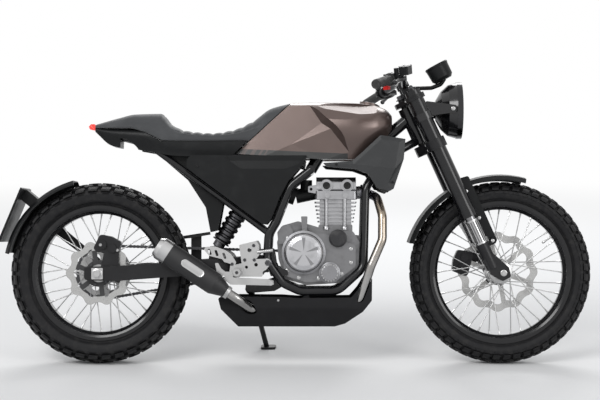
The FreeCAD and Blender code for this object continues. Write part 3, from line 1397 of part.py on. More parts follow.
def nodes():
    return {
        "frame": [frame()],
        "subframe": [subframe()],
        "swingarm": [swingarm()],
        "rear_axle": [rear_axle_piece()],
        "shock_absorber": [shock_absorber()],
        "chain": [chain()],
        "crankcase": [crankcase()],
        "engine_covers": [clutch_cover(), filter_cover(), starter(), stator_cover()],
        "cylinder": [cylinder()],
        "cylinder_head": [cylinder_head()],
        "intake": [intake()],
        "radiator": [radiator()],
        "exhaust_pipe": [exhaust_pipe()],
        "silencer": [silencer()],
        "belly_pan": [belly_pan()],
        "fuel_tank": [fuel_tank()],
        "tank_shrouds": pair(shroud()),
        "side_covers": pair(side_cover()),
        "seat": [seat()],
        "tail_unit": [tail_unit()],
        "tail_lamp": [tail_lamp()],
        "rear_mudguard": [rear_mudguard()],
        "footrests": pair(rest_plate()) + [brake_pedal(), gear_lever()],
        "rear_caliper": [rear_caliper()],
        "yokes": [yokes()],
        "fork_tubes": pair(fork_tube()),
        "stanchions": pair(stanchion()),
        "fork_castings": pair(fork_casting()),
        "front_axle": [front_axle_piece()],
        "handlebar": [handlebar()],
        "grips": pair(grip()),
        "hand_controls": [hand_control(), joined(mirrored(hand_control()), brake_reservoir())],
        "hand_levers": pair(hand_lever()),
        "headlamp": [headlamp()],
        "headlamp_lens": [headlamp_lens()],
        "gauge": [gauge()],
        "front_mudguard": [front_mudguard()],
        "front_caliper": [front_caliper()],
        "front_rim": [rim(front_bead, front_rim_width, front_axle)],
        "front_hub": [laced_hub(hub_profile(55.5, 46.0, -45.5, 26.0, 30.0), front_bead, 30.0, front_axle)],
        "front_tyre": [tyre(front_tyre_radius, front_tyre_width, front_bead, front_rim_width, front_pitches,
                            front_axle)],
        "front_disc": [brake_disc(front_disc_radius, front_disc_y, front_disc_waves, front_wave_height,
                                  front_axle)],
        "rear_rim": [rim(rear_bead, rear_rim_width, rear_axle)],
        "rear_hub": [laced_hub(hub_profile(73.0, 44.0, -76.5, 40.0, 33.0), rear_bead, 33.0, rear_axle)],
        "rear_tyre": [tyre(rear_tyre_radius, rear_tyre_width, rear_bead, rear_rim_width, rear_pitches,
                           rear_axle)],
        "rear_disc": [brake_disc(rear_disc_radius, rear_disc_y, rear_disc_waves, rear_wave_height,
                                 rear_axle)],
        "rear_sprocket": [rear_sprocket()],
        "side_stand": [side_stand()],
    }


def leaned(shape, shift):
    copy = shape.copy()
    copy.rotate(V(0, 0, 0), V(1, 0, 0), -lean)
    copy.translate(shift)
    return copy


def origin_shift(shapes):
    # brings the middle of the leaning machine's footprint over the origin and its lowest point to the ground
    whole = leaned(Part.makeCompound(shapes), V(0, 0, 0)).optimalBoundingBox(False)
    return V(-whole.Center.x, -whole.Center.y, -whole.ZMin)


def main():
    os.makedirs("parts", exist_ok=True)
    made = {name: Part.makeCompound(solids) for name, solids in nodes().items()}
    shift = origin_shift(list(made.values()))
    for name, shape in made.items():
        leaned(shape, shift).exportStep(os.path.join("parts", name + ".step"))
    print("origin shift", shift.x, shift.y, shift.z, "nodes", len(made))


if __name__ == "__main__":
    main()
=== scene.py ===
import bpy
import bmesh
import json
import math
from mathutils import Matrix, Vector


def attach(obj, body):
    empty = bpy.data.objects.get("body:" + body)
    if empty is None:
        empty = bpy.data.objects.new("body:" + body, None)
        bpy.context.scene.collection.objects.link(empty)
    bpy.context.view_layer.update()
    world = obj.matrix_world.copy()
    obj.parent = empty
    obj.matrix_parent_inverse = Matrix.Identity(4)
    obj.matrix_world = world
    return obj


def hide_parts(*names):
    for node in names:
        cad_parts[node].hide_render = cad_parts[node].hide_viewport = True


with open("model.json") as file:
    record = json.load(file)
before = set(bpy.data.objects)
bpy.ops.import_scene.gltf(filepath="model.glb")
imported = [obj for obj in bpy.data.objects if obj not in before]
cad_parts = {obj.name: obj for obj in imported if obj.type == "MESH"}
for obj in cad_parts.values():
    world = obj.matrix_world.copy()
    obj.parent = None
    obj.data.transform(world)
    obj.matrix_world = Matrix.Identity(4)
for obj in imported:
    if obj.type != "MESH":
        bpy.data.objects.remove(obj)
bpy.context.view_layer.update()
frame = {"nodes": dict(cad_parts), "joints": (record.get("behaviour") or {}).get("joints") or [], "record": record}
nodes = frame["nodes"]
print("stage: frame loaded")

# The machine leans on its stand. Everything below is placed as if it stood upright, in millimetres:
# x forward from the rear axle, y to the rider's left, z up from the ground.
machine = {
    "rearAxle": 306.0,
    "frontAxle": 308.0,
    "wheelbase": 1360.0,
    "rake": math.radians(24.5),
    "axleAhead": 59.0,  # front axle ahead of the steering axis
}
rearSpin = next(joint for joint in frame["joints"] if joint["name"] == "rear_wheel_spin")
lean = Matrix.Rotation(math.asin(Vector(rearSpin["axis"]).z), 4, "X")
toAxle = Matrix.Translation((0, 0, -machine["rearAxle"] / 1000))
upright = Matrix.Translation(rearSpin["pos_m"]) @ lean @ toAxle @ Matrix.Scale(0.001, 4)
toUpright = upright.inverted()
forkUp = Vector((-math.sin(machine["rake"]), 0, math.cos(machine["rake"])))
forkForward = Vector((math.cos(machine["rake"]), 0, math.sin(machine["rake"])))
frontCentre = Vector((machine["wheelbase"], 0, machine["frontAxle"]))
rearCentre = Vector((0, 0, machine["rearAxle"]))


def onFork(ahead, up, y=0.0):
    return frontCentre + forkForward * (ahead - machine["axleAhead"]) + forkUp * up + Vector((0, y, 0))


def leaned(direction):
    return (lean.to_3x3() @ Vector(direction)).normalized()


# Shader maths


class Signal:
    # one output socket of a finish, with the sums that shader maths needs
    def __init__(self, finish, socket):
        self.finish = finish
        self.socket = socket

    def sum(self, operation, *values):
        return self.finish.node("ShaderNodeMath", {"operation": operation}, dict(enumerate(values)))

    def __add__(self, other):
        return self.sum("ADD", self, other)

    def __radd__(self, other):
        return self.sum("ADD", other, self)

    def __sub__(self, other):
        return self.sum("SUBTRACT", self, other)

    def __rsub__(self, other):
        return self.sum("SUBTRACT", other, self)

    def __mul__(self, other):
        return self.sum("MULTIPLY", self, other)

    def __rmul__(self, other):
        return self.sum("MULTIPLY", other, self)

    def __pow__(self, other):
        return self.sum("POWER", self, other)

    def wave(self):
        return self.sum("SINE", self)

    def size(self):
        return self.sum("ABSOLUTE", self)

    def smooth(self, low, high):
        return self.finish.node("ShaderNodeMapRange", {"interpolation_type": "SMOOTHSTEP"},
                                {"Value": self, "From Min": low, "From Max": high})

    def fade(self, low, high):
        return 1 - self.smooth(low, high)

    def band(self, low, full, fading, high):
        return self.smooth(low, full) * self.fade(fading, high)


class Finish:
    # a material or the world, as the nodes that make it
    def __init__(self, name, shelf=bpy.data.materials, end="ShaderNodeOutputMaterial"):
        self.owner = shelf.new(name)
        self.owner.use_nodes = True
        self.tree = self.owner.node_tree
        self.tree.nodes.clear()
        self.end = self.tree.nodes.new(end)
        self.place = None

    def node(self, kind, settings=None, sockets=None, out=0):
        made = self.tree.nodes.new(kind)
        for name, value in (settings or {}).items():
            setattr(made, name, value)
        for name, value in (sockets or {}).items():
            if isinstance(value, Signal):
                self.tree.links.new(value.socket, made.inputs[name])
            else:
                made.inputs[name].default_value = value
        return Signal(self, made.outputs[out])

    def where(self):
        # the rest place of a point, in metres in the row's frame
        if self.place is None:
            self.place = self.node("ShaderNodeTexCoord", out="Object")
        return self.place

    def along(self, direction, origin=(0, 0, 0)):
        # how far a point lies from an upright-frame place along an upright-frame direction, in millimetres
        way = leaned(direction)
        reach = self.node("ShaderNodeVectorMath", {"operation": "DOT_PRODUCT"},
                          {0: self.where(), 1: tuple(way * 1000)}, out="Value")
        return reach - (upright @ Vector(origin)).dot(way) * 1000

    def upX(self):
        return self.along((1, 0, 0))

    def upY(self):
        return self.along((0, 1, 0))

    def upZ(self):
        return self.along((0, 0, 1))

    def fromSpot(self, x, z):
        # distance from a place in the side view
        return ((self.upX() - x) ** 2 + (self.upZ() - z) ** 2) ** 0.5

    def noise(self, scale, detail=3.0, rough=0.5, distortion=0.0):
        return self.node("ShaderNodeTexNoise", {}, {"Vector": self.where(), "Scale": scale, "Detail": detail,
                                                    "Roughness": rough, "Distortion": distortion})

    def patches(self, scale, low, high, detail=5, rough=0.6):
        # soft-edged patches of dust, stain or wear
        return self.noise(scale, detail, rough).smooth(low, high)

    def scratches(self):
        return self.noise(1300, 2, 0.7, 1.5)

    def cells(self, scale, out="Distance"):
        return self.node("ShaderNodeTexVoronoi", {}, {"Vector": self.where(), "Scale": scale}, out)

    def edges(self):
        # above a half on outer edges, below it in hollows
        return self.node("ShaderNodeNewGeometry", out="Pointiness")

    def worn(self, edge):
        # 1 along sharp outer edges, broken up by noise
        return (self.edges() + self.noise(60, 4) * 0.12 - 0.06).smooth(edge - 0.06, edge + 0.06)

    def colour(self, value):
        return (*value, 1) if isinstance(value, tuple) else value

    def mixed(self, factor, first, second):
        # sockets 0, 6 and 7 are the factor and the two colours, and output 2 is the mixed colour
        return self.node("ShaderNodeMix", {"data_type": "RGBA"},
                         {0: factor, 6: self.colour(first), 7: self.colour(second)}, out=2)

    def bump(self, height, strength, distance):
        return self.node("ShaderNodeBump", {}, {"Height": height, "Strength": strength, "Distance": distance})

    def shown(self, shader):
        self.tree.links.new(shader.socket, self.end.inputs["Surface"])
        return self.owner

    def close(self, **sockets):
        names = {"colour": "Base Color", "rough": "Roughness", "metal": "Metallic", "normal": "Normal",
                 "coat": "Coat Weight", "coatRough": "Coat Roughness", "sheen": "Sheen Weight",
                 "sheenRough": "Sheen Roughness", "specular": "Specular IOR Level", "glow": "Emission Color",
                 "glowStrength": "Emission Strength"}
        values = {names[name]: self.colour(value) for name, value in sockets.items()}
        return self.shown(self.node("ShaderNodeBsdfPrincipled", {}, values))

    def seen(self):
        # 1 where the camera, a reflection or a glass looks, 0 for the light that falls on the object
        kinds = ("Is Camera Ray", "Is Glossy Ray", "Is Transmission Ray")
        camera, glossy, through = [self.node("ShaderNodeLightPath", out=kind) for kind in kinds]
        return (camera + glossy + through).smooth(0.0, 1.0)


# Mesh making


def squareTo(axis):
    # an axis of length 1 and two directions square to it
    axis = Vector(axis).normalized()
    first = axis.cross(Vector((0, 0, 1)) if abs(axis.z) < 0.9 else Vector((1, 0, 0))).normalized()
    return axis, first, axis.cross(first)


def around(first, second, turn):
    return first * math.cos(turn) + second * math.sin(turn)


class Shape:
    # points and faces gathered in the upright frame, in millimetres
    def __init__(self):
        self.points = []
        self.faces = []

    def add(self, points, faces):
        start = len(self.points)
        self.points += [Vector(p) for p in points]
        self.faces += [tuple(start + i for i in face) for face in faces]
        return self

    def rings(self, rings, loop=False, caps=True):
        # skins closed rings that have as many points each
        count = len(rings[0])
        faces = []
        for k in range(len(rings) if loop else len(rings) - 1):
            this, other = k * count, (k + 1) % len(rings) * count
            for i in range(count):
                j = (i + 1) % count
                faces.append((this + i, this + j, other + j, other + i))
        if caps and not loop:
            faces.append(tuple(reversed(range(count))))
            faces.append(tuple((len(rings) - 1) * count + i for i in range(count)))
        return self.add([p for ring in rings for p in ring], faces)

    def lathe(self, profile, base, axis, steps=32, caps=True):
        # the profile is (along the axis, radius)
        axis, first, second = squareTo(axis)
        base = Vector(base)
        return self.rings([[base + axis * along + around(first, second, 2 * math.pi * i / steps) * radius
                            for i in range(steps)] for along, radius in profile], caps=caps)

    def tube(self, line, radii, steps):
        rings = []
        side = squareTo(line[1] - line[0])[1]
        for i, point in enumerate(line):
            ahead = (line[min(i + 1, len(line) - 1)] - line[max(i - 1, 0)]).normalized()
            side = (side - ahead * side.dot(ahead)).normalized()
            up = ahead.cross(side)
            rings.append([point + around(side, up, 2 * math.pi * k / steps) * radii[i] for k in range(steps)])
        return self.rings(rings)

    def slab(self, corners, low, high):
        # a flat piece drawn in side view as (x, z) corners
        count = len(corners)
        points = [(x, low, z) for x, z in corners] + [(x, high, z) for x, z in corners]
        sides = [(i, (i + 1) % count, count + (i + 1) % count, count + i) for i in range(count)]
        return self.add(points, sides + [tuple(reversed(range(count))), tuple(range(count, 2 * count))])

    def hexBolt(self, place, axis, size):
        # a flanged hexagon head on its washer
        self.lathe([(0, size * 1.15), (size * 0.14, size * 1.15), (size * 0.2, size * 1.05)], place, axis, 18)
        return self.lathe([(size * 0.2, size * 0.88), (size * 0.75, size * 0.88), (size * 0.85, size * 0.76)],
                          place, axis, 6)

    def capScrew(self, place, axis, size):
        # a round head with a hexagon socket
        self.lathe([(0, size), (size * 0.75, size), (size * 0.9, size * 0.86), (size * 0.9, size * 0.52)],
                   place, axis, 16, caps=False)
        return self.lathe([(size * 0.9, size * 0.52), (size * 0.3, size * 0.5), (size * 0.3, 0.01)],
                          place, axis, 6, caps=False)

    def joined(self, other):
        return self.add(other.points, other.faces)

    def mirrored(self):
        other = Shape()
        other.points = [Vector((p.x, -p.y, p.z)) for p in self.points]
        other.faces = [tuple(reversed(face)) for face in self.faces]
        return other

    def built(self, name, slot, body="chassis", finish=None, bevel=0.0, divisions=0, flat=False, angle=35.0,
              wall=0.0):
        mesh = bpy.data.meshes.new(name)
        mesh.from_pydata([upright @ p for p in self.points], [], self.faces)
        mesh.validate()
        work = bmesh.new()
        work.from_mesh(mesh)
        bmesh.ops.recalc_face_normals(work, faces=work.faces)
        work.to_mesh(mesh)
        work.free()
        mesh.materials.append(finish or slotFinish[slot])
        piece = bpy.data.objects.new(name, mesh)
        bpy.context.scene.collection.objects.link(piece)
        if wall:
            skin = piece.modifiers.new("wall", "SOLIDIFY")
            skin.thickness = wall / 1000
            skin.offset = -1
        if bevel:
            edge = piece.modifiers.new("edges", "BEVEL")
            edge.width = bevel / 1000
            edge.segments = 2
            edge.limit_method = "ANGLE"
            edge.angle_limit = math.radians(min(angle, 30.0))
        if divisions:
            soft = piece.modifiers.new("surface", "SUBSURF")
            soft.levels = soft.render_levels = divisions
        if not flat:
            mesh.shade_smooth()
            if not divisions:
                mesh.set_sharp_from_angle(angle=math.radians(angle))
        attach(piece, body)
        return piece


# Finishes


def tinted(colour, times, plus=0.0):
    return tuple(c * times + plus for c in colour)


def paintFinish(name, colour, rough, coat, chips):
    # sprayed enamel: orange peel, dust in the low light, small chips on the edges
    f = Finish(name)
    dust = f.patches(14, 0.42, 0.75)
    bare = f.worn(0.66) * f.noise(220).smooth(0.58, 0.64) * chips
    tone = f.mixed(bare, f.mixed(dust * 0.25, colour, tinted(colour, 1.5, 0.012)), (0.1, 0.098, 0.095))
    return f.close(colour=tone, rough=rough + dust * 0.12 + f.noise(60) * 0.05, metal=bare * 0.6, coat=coat,
                   coatRough=0.08, specular=0.25, normal=f.bump(f.noise(900, 2), 0.06, 0.0004))


def plasticFinish(name, colour, rough, grain=1400.0, depth=0.12):
    # moulded plastic with a fine spark-eroded grain and a little dust
    f = Finish(name)
    dust = f.patches(22, 0.45, 0.8)
    return f.close(colour=f.mixed(dust * 0.3, colour, tinted(colour, 1.5, 0.008)), specular=0.16,
                   rough=rough + dust * 0.12 - f.worn(0.62) * 0.1,
                   normal=f.bump(f.cells(grain) + f.noise(300, 2) * 0.5, depth, 0.0005))


def alloyFinish(name, colour, rough, grain=700.0, depth=0.25, grime=0.35):
    # die-cast aluminium, blasted, with grime in patches and painted shade that darkens its hollows
    f = Finish(name)
    skin = f.noise(grain, 4, 0.65)
    # grime in noise patches, plus painted shade where pointiness is low in the hollows; the grime weight sets both
    grimeAndHollowShade = f.patches(30, 0.46, 0.72, 6, 0.62) * grime * 0.6 + f.edges().fade(0.38, 0.5) * grime
    return f.close(colour=f.mixed(grimeAndHollowShade, colour, tinted(colour, 0.35)), metal=1.0 - grimeAndHollowShade * 0.45,
                   rough=rough + skin * 0.16 + grimeAndHollowShade * 0.2 - 0.06, normal=f.bump(skin, depth, 0.0006))


def steelFinish(name, colour, rough, scratch=0.25):
    # plain steel with fine scratches and faint stains
    f = Finish(name)
    lines = f.scratches()
    stain = f.patches(26, 0.48, 0.75, 6, 0.65)
    return f.close(colour=f.mixed(stain * 0.35, colour, tinted(colour, 0.55)), metal=1.0,
                   rough=rough + lines * 0.1 + stain * 0.12, normal=f.bump(lines, scratch * 0.4, 0.0003))


def rubberFinish(name, colour, rough, dusty):
    # dull rubber, fine-grained, with dust rubbed into it
    f = Finish(name)
    scuff = f.noise(45, 6, 0.68)
    dust = scuff.smooth(0.45, 0.72) * dusty
    return f.close(colour=f.mixed(dust, colour, (0.07, 0.066, 0.06)), specular=0.2,
                   rough=rough + dust * 0.2 - f.noise(9, 2) * 0.08,
                   normal=f.bump(f.noise(1500) + scuff * 0.6, 0.2, 0.0005))


def pipeFinish(port):
    # a polished header that the heat has tinted straw and blue near its port
    f = Finish("pipe_steel")
    away = f.node("ShaderNodeVectorMath", {"operation": "DISTANCE"},
                  {0: f.where(), 1: tuple(upright @ Vector(port))}, out="Value") + f.noise(18, 2) * 0.03
    tone = f.mixed(away.band(0.05, 0.12, 0.16, 0.34) * 0.6, (0.34, 0.335, 0.33), (0.3, 0.22, 0.13))
    tone = f.mixed(away.band(0.01, 0.04, 0.07, 0.13) * 0.55, tone, (0.11, 0.105, 0.18))
    lines = f.scratches()
    soot = f.patches(26, 0.5, 0.8, 6, 0.65)
    return f.close(colour=f.mixed(soot * 0.4, tone, (0.12, 0.11, 0.1)), metal=1.0,
                   rough=0.17 + lines * 0.08 + soot * 0.15, normal=f.bump(lines, 0.08, 0.0003))


def silencerFinish(nose, tail):
    # a black can with a brushed cap on its end and soot inside the outlet
    f = Finish("silencer_black")
    run = Vector(tail) - Vector(nose)
    capFrom, outlet = run.length - 12.1, 18.5
    _, first, second = squareTo(run)
    across = (f.along(first, nose) ** 2 + f.along(second, nose) ** 2) ** 0.5
    cap = f.along(run, nose).smooth(capFrom - 0.2, capFrom + 0.2)
    inside = cap * across.fade(outlet - 0.3, outlet + 0.3)
    brushed = f.noise(900, 3, 0.7, 2.0)
    dust = f.patches(16, 0.45, 0.78)
    can = f.mixed(dust * 0.25, (0.008, 0.008, 0.009), (0.025, 0.024, 0.023))
    return f.close(colour=f.mixed(inside, f.mixed(cap, can, (0.5, 0.5, 0.5)), (0.01, 0.01, 0.01)),
                   rough=0.46 - cap * 0.2 + brushed * 0.08 + dust * 0.08 + inside * 0.5, metal=cap - inside,
                   normal=f.bump(brushed + f.cells(900) * 0.4, 0.12, 0.0004))


def discFinish(name, centre, carrier):
    # ground steel with the pads' fine rings, round a dark carrier of the radius given
    f = Finish(name)
    reach = f.fromSpot(centre.x, centre.z)
    rings = (reach * 9.0).wave() * 0.5 + (reach * 3.1).wave() * 0.3 + f.noise(200) * 0.5
    middle = reach.fade(70.0, 80.0)
    inside = reach.fade(carrier - 0.6, carrier + 0.6)
    stain = f.patches(24, 0.45, 0.75)
    tone = f.mixed(stain * 0.25 + middle * 0.2, (0.44, 0.44, 0.435), (0.2, 0.195, 0.19))
    return f.close(colour=f.mixed(inside, tone, (0.02, 0.02, 0.021)), metal=1.0 - inside,
                   rough=0.24 + stain * 0.1 + middle * 0.1 + inside * 0.2, normal=f.bump(rings, 0.1, 0.0003))


def coverFinish(clutch, pump):
    # blasted engine covers: the clutch's is turned bright, the pump's is black, with painted shade in the gap
    # round the turned face and in its creases
    f = Finish("engine_covers")
    y = f.upY()
    right = y.fade(-60.0, -58.0)  # the places and radii here are those of the steps in the covers' shape
    fromClutch = f.fromSpot(*clutch)
    turned = fromClutch.fade(63.0, 66.0) * y.fade(-98.0, -96.0)
    black = f.fromSpot(*pump).fade(31.5, 32.5) * right * (1 - turned)
    # painted shade: a dark ring in the gap at the step round the turned face
    gapShade = fromClutch.band(62.6, 63.2, 65.8, 66.6) * right
    # painted shade in the sunk creases on the turned face
    crease = fromClutch.fade(49.0, 51.0) * y.smooth(-125.8, -125.2)
    skin = f.noise(700, 4, 0.65)
    rings = (fromClutch * 7.0).wave() * 0.5 + f.noise(120)
    grime = f.patches(30, 0.46, 0.74, 6, 0.62) * 0.25
    tone = f.mixed(turned, (0.24, 0.24, 0.25), (0.46, 0.46, 0.475))
    tone = f.mixed(gapShade + crease * turned * 0.5, tone, (0.05, 0.05, 0.052))
    tone = f.mixed(grime, f.mixed(black, tone, (0.014, 0.014, 0.016)), (0.09, 0.086, 0.082))
    return f.close(colour=tone, rough=0.36 + skin * 0.12 + grime * 0.3 - turned * 0.12,
                   metal=1.0 - grime - black * 0.8,
                   normal=f.bump(skin * (1 - turned) + rings * turned * 0.3, 0.2, 0.0005))


def radiatorFinish():
    # black core with thin upright fins between its flat tubes
    f = Finish("radiator_core")
    y = f.upY()
    core = y.size().fade(85.0, 86.0)
    fins = (y * 2.6).wave() * core
    dust = f.patches(30, 0.4, 0.7)
    tank = f.mixed(core, (0.014, 0.014, 0.015), (0.06, 0.06, 0.062))
    tone = f.mixed(fins * 0.5 + 0.5, (0.012, 0.012, 0.013), tank)
    return f.close(colour=f.mixed(dust * 0.3, tone, (0.09, 0.08, 0.07)), rough=0.5 + dust * 0.2,
                   metal=core * 0.3, normal=f.bump(fins, 0.5, 0.0012))


def lampShellFinish(front):
    # gloss black bowl and brackets with a dark metal rim round the glass
    f = Finish("headlamp_shell")
    rim = f.upX().smooth(front - 18.4, front - 18.0)  # the rim is 18 deep
    dust = f.patches(14, 0.42, 0.75)
    bowl = f.mixed(dust * 0.25, (0.006, 0.006, 0.007), (0.02, 0.02, 0.02))
    return f.close(colour=f.mixed(rim, bowl, (0.05, 0.05, 0.052)), rough=0.2 + dust * 0.12 - rim * 0.13,
                   metal=rim, coat=0.4 - rim * 0.4, coatRough=0.08, specular=0.35,
                   normal=f.bump(f.noise(900, 2), 0.05, 0.0003))


def gripFinish():
    # soft rubber with rings moulded round it, scuffed in patches
    f = Finish("grip_rubber_ribbed")
    ribs = (f.upY() * 1.9).wave().size() ** 0.5
    scuff = f.patches(60, 0.48, 0.75, 5, 0.65)
    return f.close(colour=f.mixed(scuff * 0.4, (0.012, 0.012, 0.012), (0.06, 0.058, 0.055)),
                   rough=0.66 - scuff * 0.12, normal=f.bump(ribs, 0.6, 0.0012))


def clothFinish():
    # brushed seat cover with a short nap, rubbed smoother in patches
    f = Finish("seat_cloth")
    nap = f.noise(2400, 3, 0.7)
    rubbed = f.patches(12, 0.4, 0.75, 4)
    tone = f.mixed(rubbed * 0.5, (0.05, 0.052, 0.055), (0.078, 0.08, 0.083))
    return f.close(colour=f.mixed(nap * 0.4, tone, (0.028, 0.029, 0.031)), rough=0.86 - rubbed * 0.1,
                   sheen=0.35, sheenRough=0.4, normal=f.bump(nap + f.cells(1700) * 0.7, 0.35, 0.0006))


def tailLensFinish():
    # red lens with small square optics, lit from inside
    f = Finish("red_lens")
    y = f.upY()
    ribs = (y * 1.3).wave() * 0.5 + (f.upZ() * 1.3).wave() * 0.5
    core = y.size().fade(8.0, 30.0) * 0.7 + f.noise(30, 2) * 0.3
    glow = f.mixed(core, (0.5, 0.01, 0.005), (1.0, 0.07, 0.03))
    return f.close(colour=(0.35, 0.005, 0.005), rough=0.12 + core * 0.05, glow=glow, glowStrength=1.4,
                   coat=0.8, normal=f.bump(ribs, 0.3, 0.0008))


def headLensFinish(height):
    # a clear lens over its reflector, drawn as painted reflections: flutes, a bright ring, light and dark rings
    # for the reflector's depth, and the bulb's dark shield
    f = Finish("lamp_glass")
    y = f.upY()
    reach = (y ** 2 + (f.upZ() - height) ** 2) ** 0.5
    flutes = (y * 0.55).wave()
    shield = reach.fade(15.0, 17.0)
    # painted reflection of the reflector bowl, in rings of light and dark grey
    bowl = (reach * 0.07 + flutes * 0.25).wave() * 0.5 + 0.5
    tone = f.mixed(shield, f.mixed(bowl, (0.34, 0.36, 0.38), (0.82, 0.84, 0.86)), (0.03, 0.03, 0.032))
    lit = reach.fade(17.0, 70.0) * (1 - shield)
    return f.close(colour=tone, rough=0.07 + flutes.size() * 0.05, metal=0.35 - shield * 0.35, coat=0.9,
                   glow=f.mixed(lit, (0.05, 0.055, 0.06), (1.0, 0.97, 0.9)), glowStrength=0.5,
                   normal=f.bump(flutes, 0.25, 0.0012))


tankPaint = {
    "bronze": (0.115, 0.082, 0.073),
    "shade": (0.062, 0.043, 0.039),
    "glint": (0.2, 0.15, 0.13),
    "band": (0.017, 0.018, 0.018),
    "stripe": (0.055, 0.038, 0.034),
    "bandTop": (446.0, 727.0),  # a place on the top line of the dark band along the tank's foot
    "bandSlope": -19.0 / 400.0,
    "bandEnd": (838.0, 840.0),
    "stripes": ((478.0, 17.0), (512.0, 14.0), (541.0, 8.0), (560.0, 5.0)),  # start and width, in the band
    "stripeLean": 0.62,
    "stripeSoft": 1.5,
}


def bronzeFinish(paint):
    # fine metal flakes under lacquer, with a dark striped band along the flanks' foot
    f = Finish("bronze_paint")
    glint = f.node("ShaderNodeSeparateColor", {}, {0: f.cells(2600, "Color")})
    tone = f.mixed(f.noise(7).smooth(0.3, 0.7) * 0.35, paint["bronze"], paint["shade"])
    tone = f.mixed(glint * 0.2, tone, paint["glint"])
    x, z = f.upX(), f.upZ()
    foot = paint["bandTop"][1] - paint["bandSlope"] * paint["bandTop"][0]
    inBand = (z - x * paint["bandSlope"]).fade(foot - 0.7, foot + 0.7)
    inBand = inBand * x.fade(*paint["bandEnd"]) * f.upY().size().smooth(55.0, 60.0)
    leaning = x - (z - 710.0) * paint["stripeLean"]
    soft = paint["stripeSoft"]
    stripe = 0
    for start, width in paint["stripes"]:
        stripe = stripe + leaning.band(start - soft, start + soft, start + width - soft, start + width + soft)
    tone = f.mixed(inBand, tone, f.mixed(stripe, paint["band"], paint["stripe"]))
    dust = f.patches(18, 0.5, 0.8)
    return f.close(colour=f.mixed(dust * 0.1, tone, (0.12, 0.11, 0.105)), metal=0.62 - inBand * 0.5,
                   rough=0.33 + dust * 0.1 + inBand * 0.08, coat=0.35, coatRough=0.22,
                   normal=f.bump(f.noise(900, 2), 0.04, 0.0004))


darkAlloy = alloyFinish("dark_alloy", (0.13, 0.13, 0.14), 0.42)
fineAlloy = alloyFinish("forged_alloy", (0.46, 0.46, 0.46), 0.3, 500.0, 0.12, 0.15)
redPlastic = plasticFinish("red_plastic", (0.45, 0.012, 0.01), 0.4)
dialWhite = plasticFinish("dial_white", (0.75, 0.75, 0.73), 0.5)
threadGrey = plasticFinish("seat_thread", (0.16, 0.16, 0.165), 0.7, 3000.0, 0.3)
glossBlack = paintFinish("gloss_black", (0.005, 0.005, 0.006), 0.16, 0.3, 0.3)
slotFinish = {
    "frame_black": glossBlack,
    "chassis_black": paintFinish("satin_black", (0.007, 0.007, 0.008), 0.36, 0.08, 0.25),
    "bare_aluminium": alloyFinish("cast_alloy", (0.36, 0.36, 0.37), 0.34),
    "steel": steelFinish("bright_steel", (0.46, 0.46, 0.46), 0.24),
    "chrome": steelFinish("chrome", (0.7, 0.7, 0.71), 0.06, 0.05),
    "dark_steel": steelFinish("dark_steel", (0.09, 0.09, 0.095), 0.4),
    "black_plastic": plasticFinish("cover_plastic", (0.008, 0.0085, 0.009), 0.36),
    "grey_plastic": plasticFinish("grey_plastic", (0.042, 0.043, 0.044), 0.34),
    "bronze_paint": bronzeFinish(tankPaint),
    "seat_cloth": clothFinish(),
    "rubber": rubberFinish("grip_rubber", (0.012, 0.012, 0.012), 0.62, 0.12),
    "tyre": rubberFinish("tyre_rubber", (0.009, 0.009, 0.01), 0.62, 0.2),
    "lamp_red": tailLensFinish(),
    "lamp_glass": headLensFinish(860.0),
}
nodeFinish = {  # the nodes that differ from their slot
    "crankcase": alloyFinish("case_alloy", (0.19, 0.19, 0.195), 0.38, 600.0, 0.3, 0.5),
    "engine_covers": coverFinish((691.0, 376.0), (806.0, 424.0)),
    # a darker copy of the chrome: painted shade that shows between the bright ribs of the stanchion sleeves
    "stanchions": steelFinish("chrome_darkened_as_shade", (0.22, 0.22, 0.225), 0.14, 0.05),
    "fork_tubes": glossBlack,
    "belly_pan": plasticFinish("matte_black", (0.01, 0.01, 0.011), 0.6),
    "exhaust_pipe": pipeFinish((888.0, 0.0, 580.0)),
    "silencer": silencerFinish((444.0, -157.0, 241.0), (233.0, -166.0, 381.0)),
    "footrests": fineAlloy,
    "front_disc": discFinish("front_disc_steel", frontCentre, 50.0),
    "rear_disc": discFinish("rear_disc_steel", rearCentre, 78.0),
    "radiator": radiatorFinish(),
    "headlamp": lampShellFinish(1229.0),
    "grips": gripFinish(),
}
for part in frame["record"]["subparts"]:
    mesh = nodes[part["node"]].data
    mesh.materials.clear()
    mesh.materials.append(nodeFinish.get(part["node"], slotFinish[part["material_slot"]]))
print("stage: finishes on the frame")

# Wheels: tyres with tread blocks, spoke nipples and valves

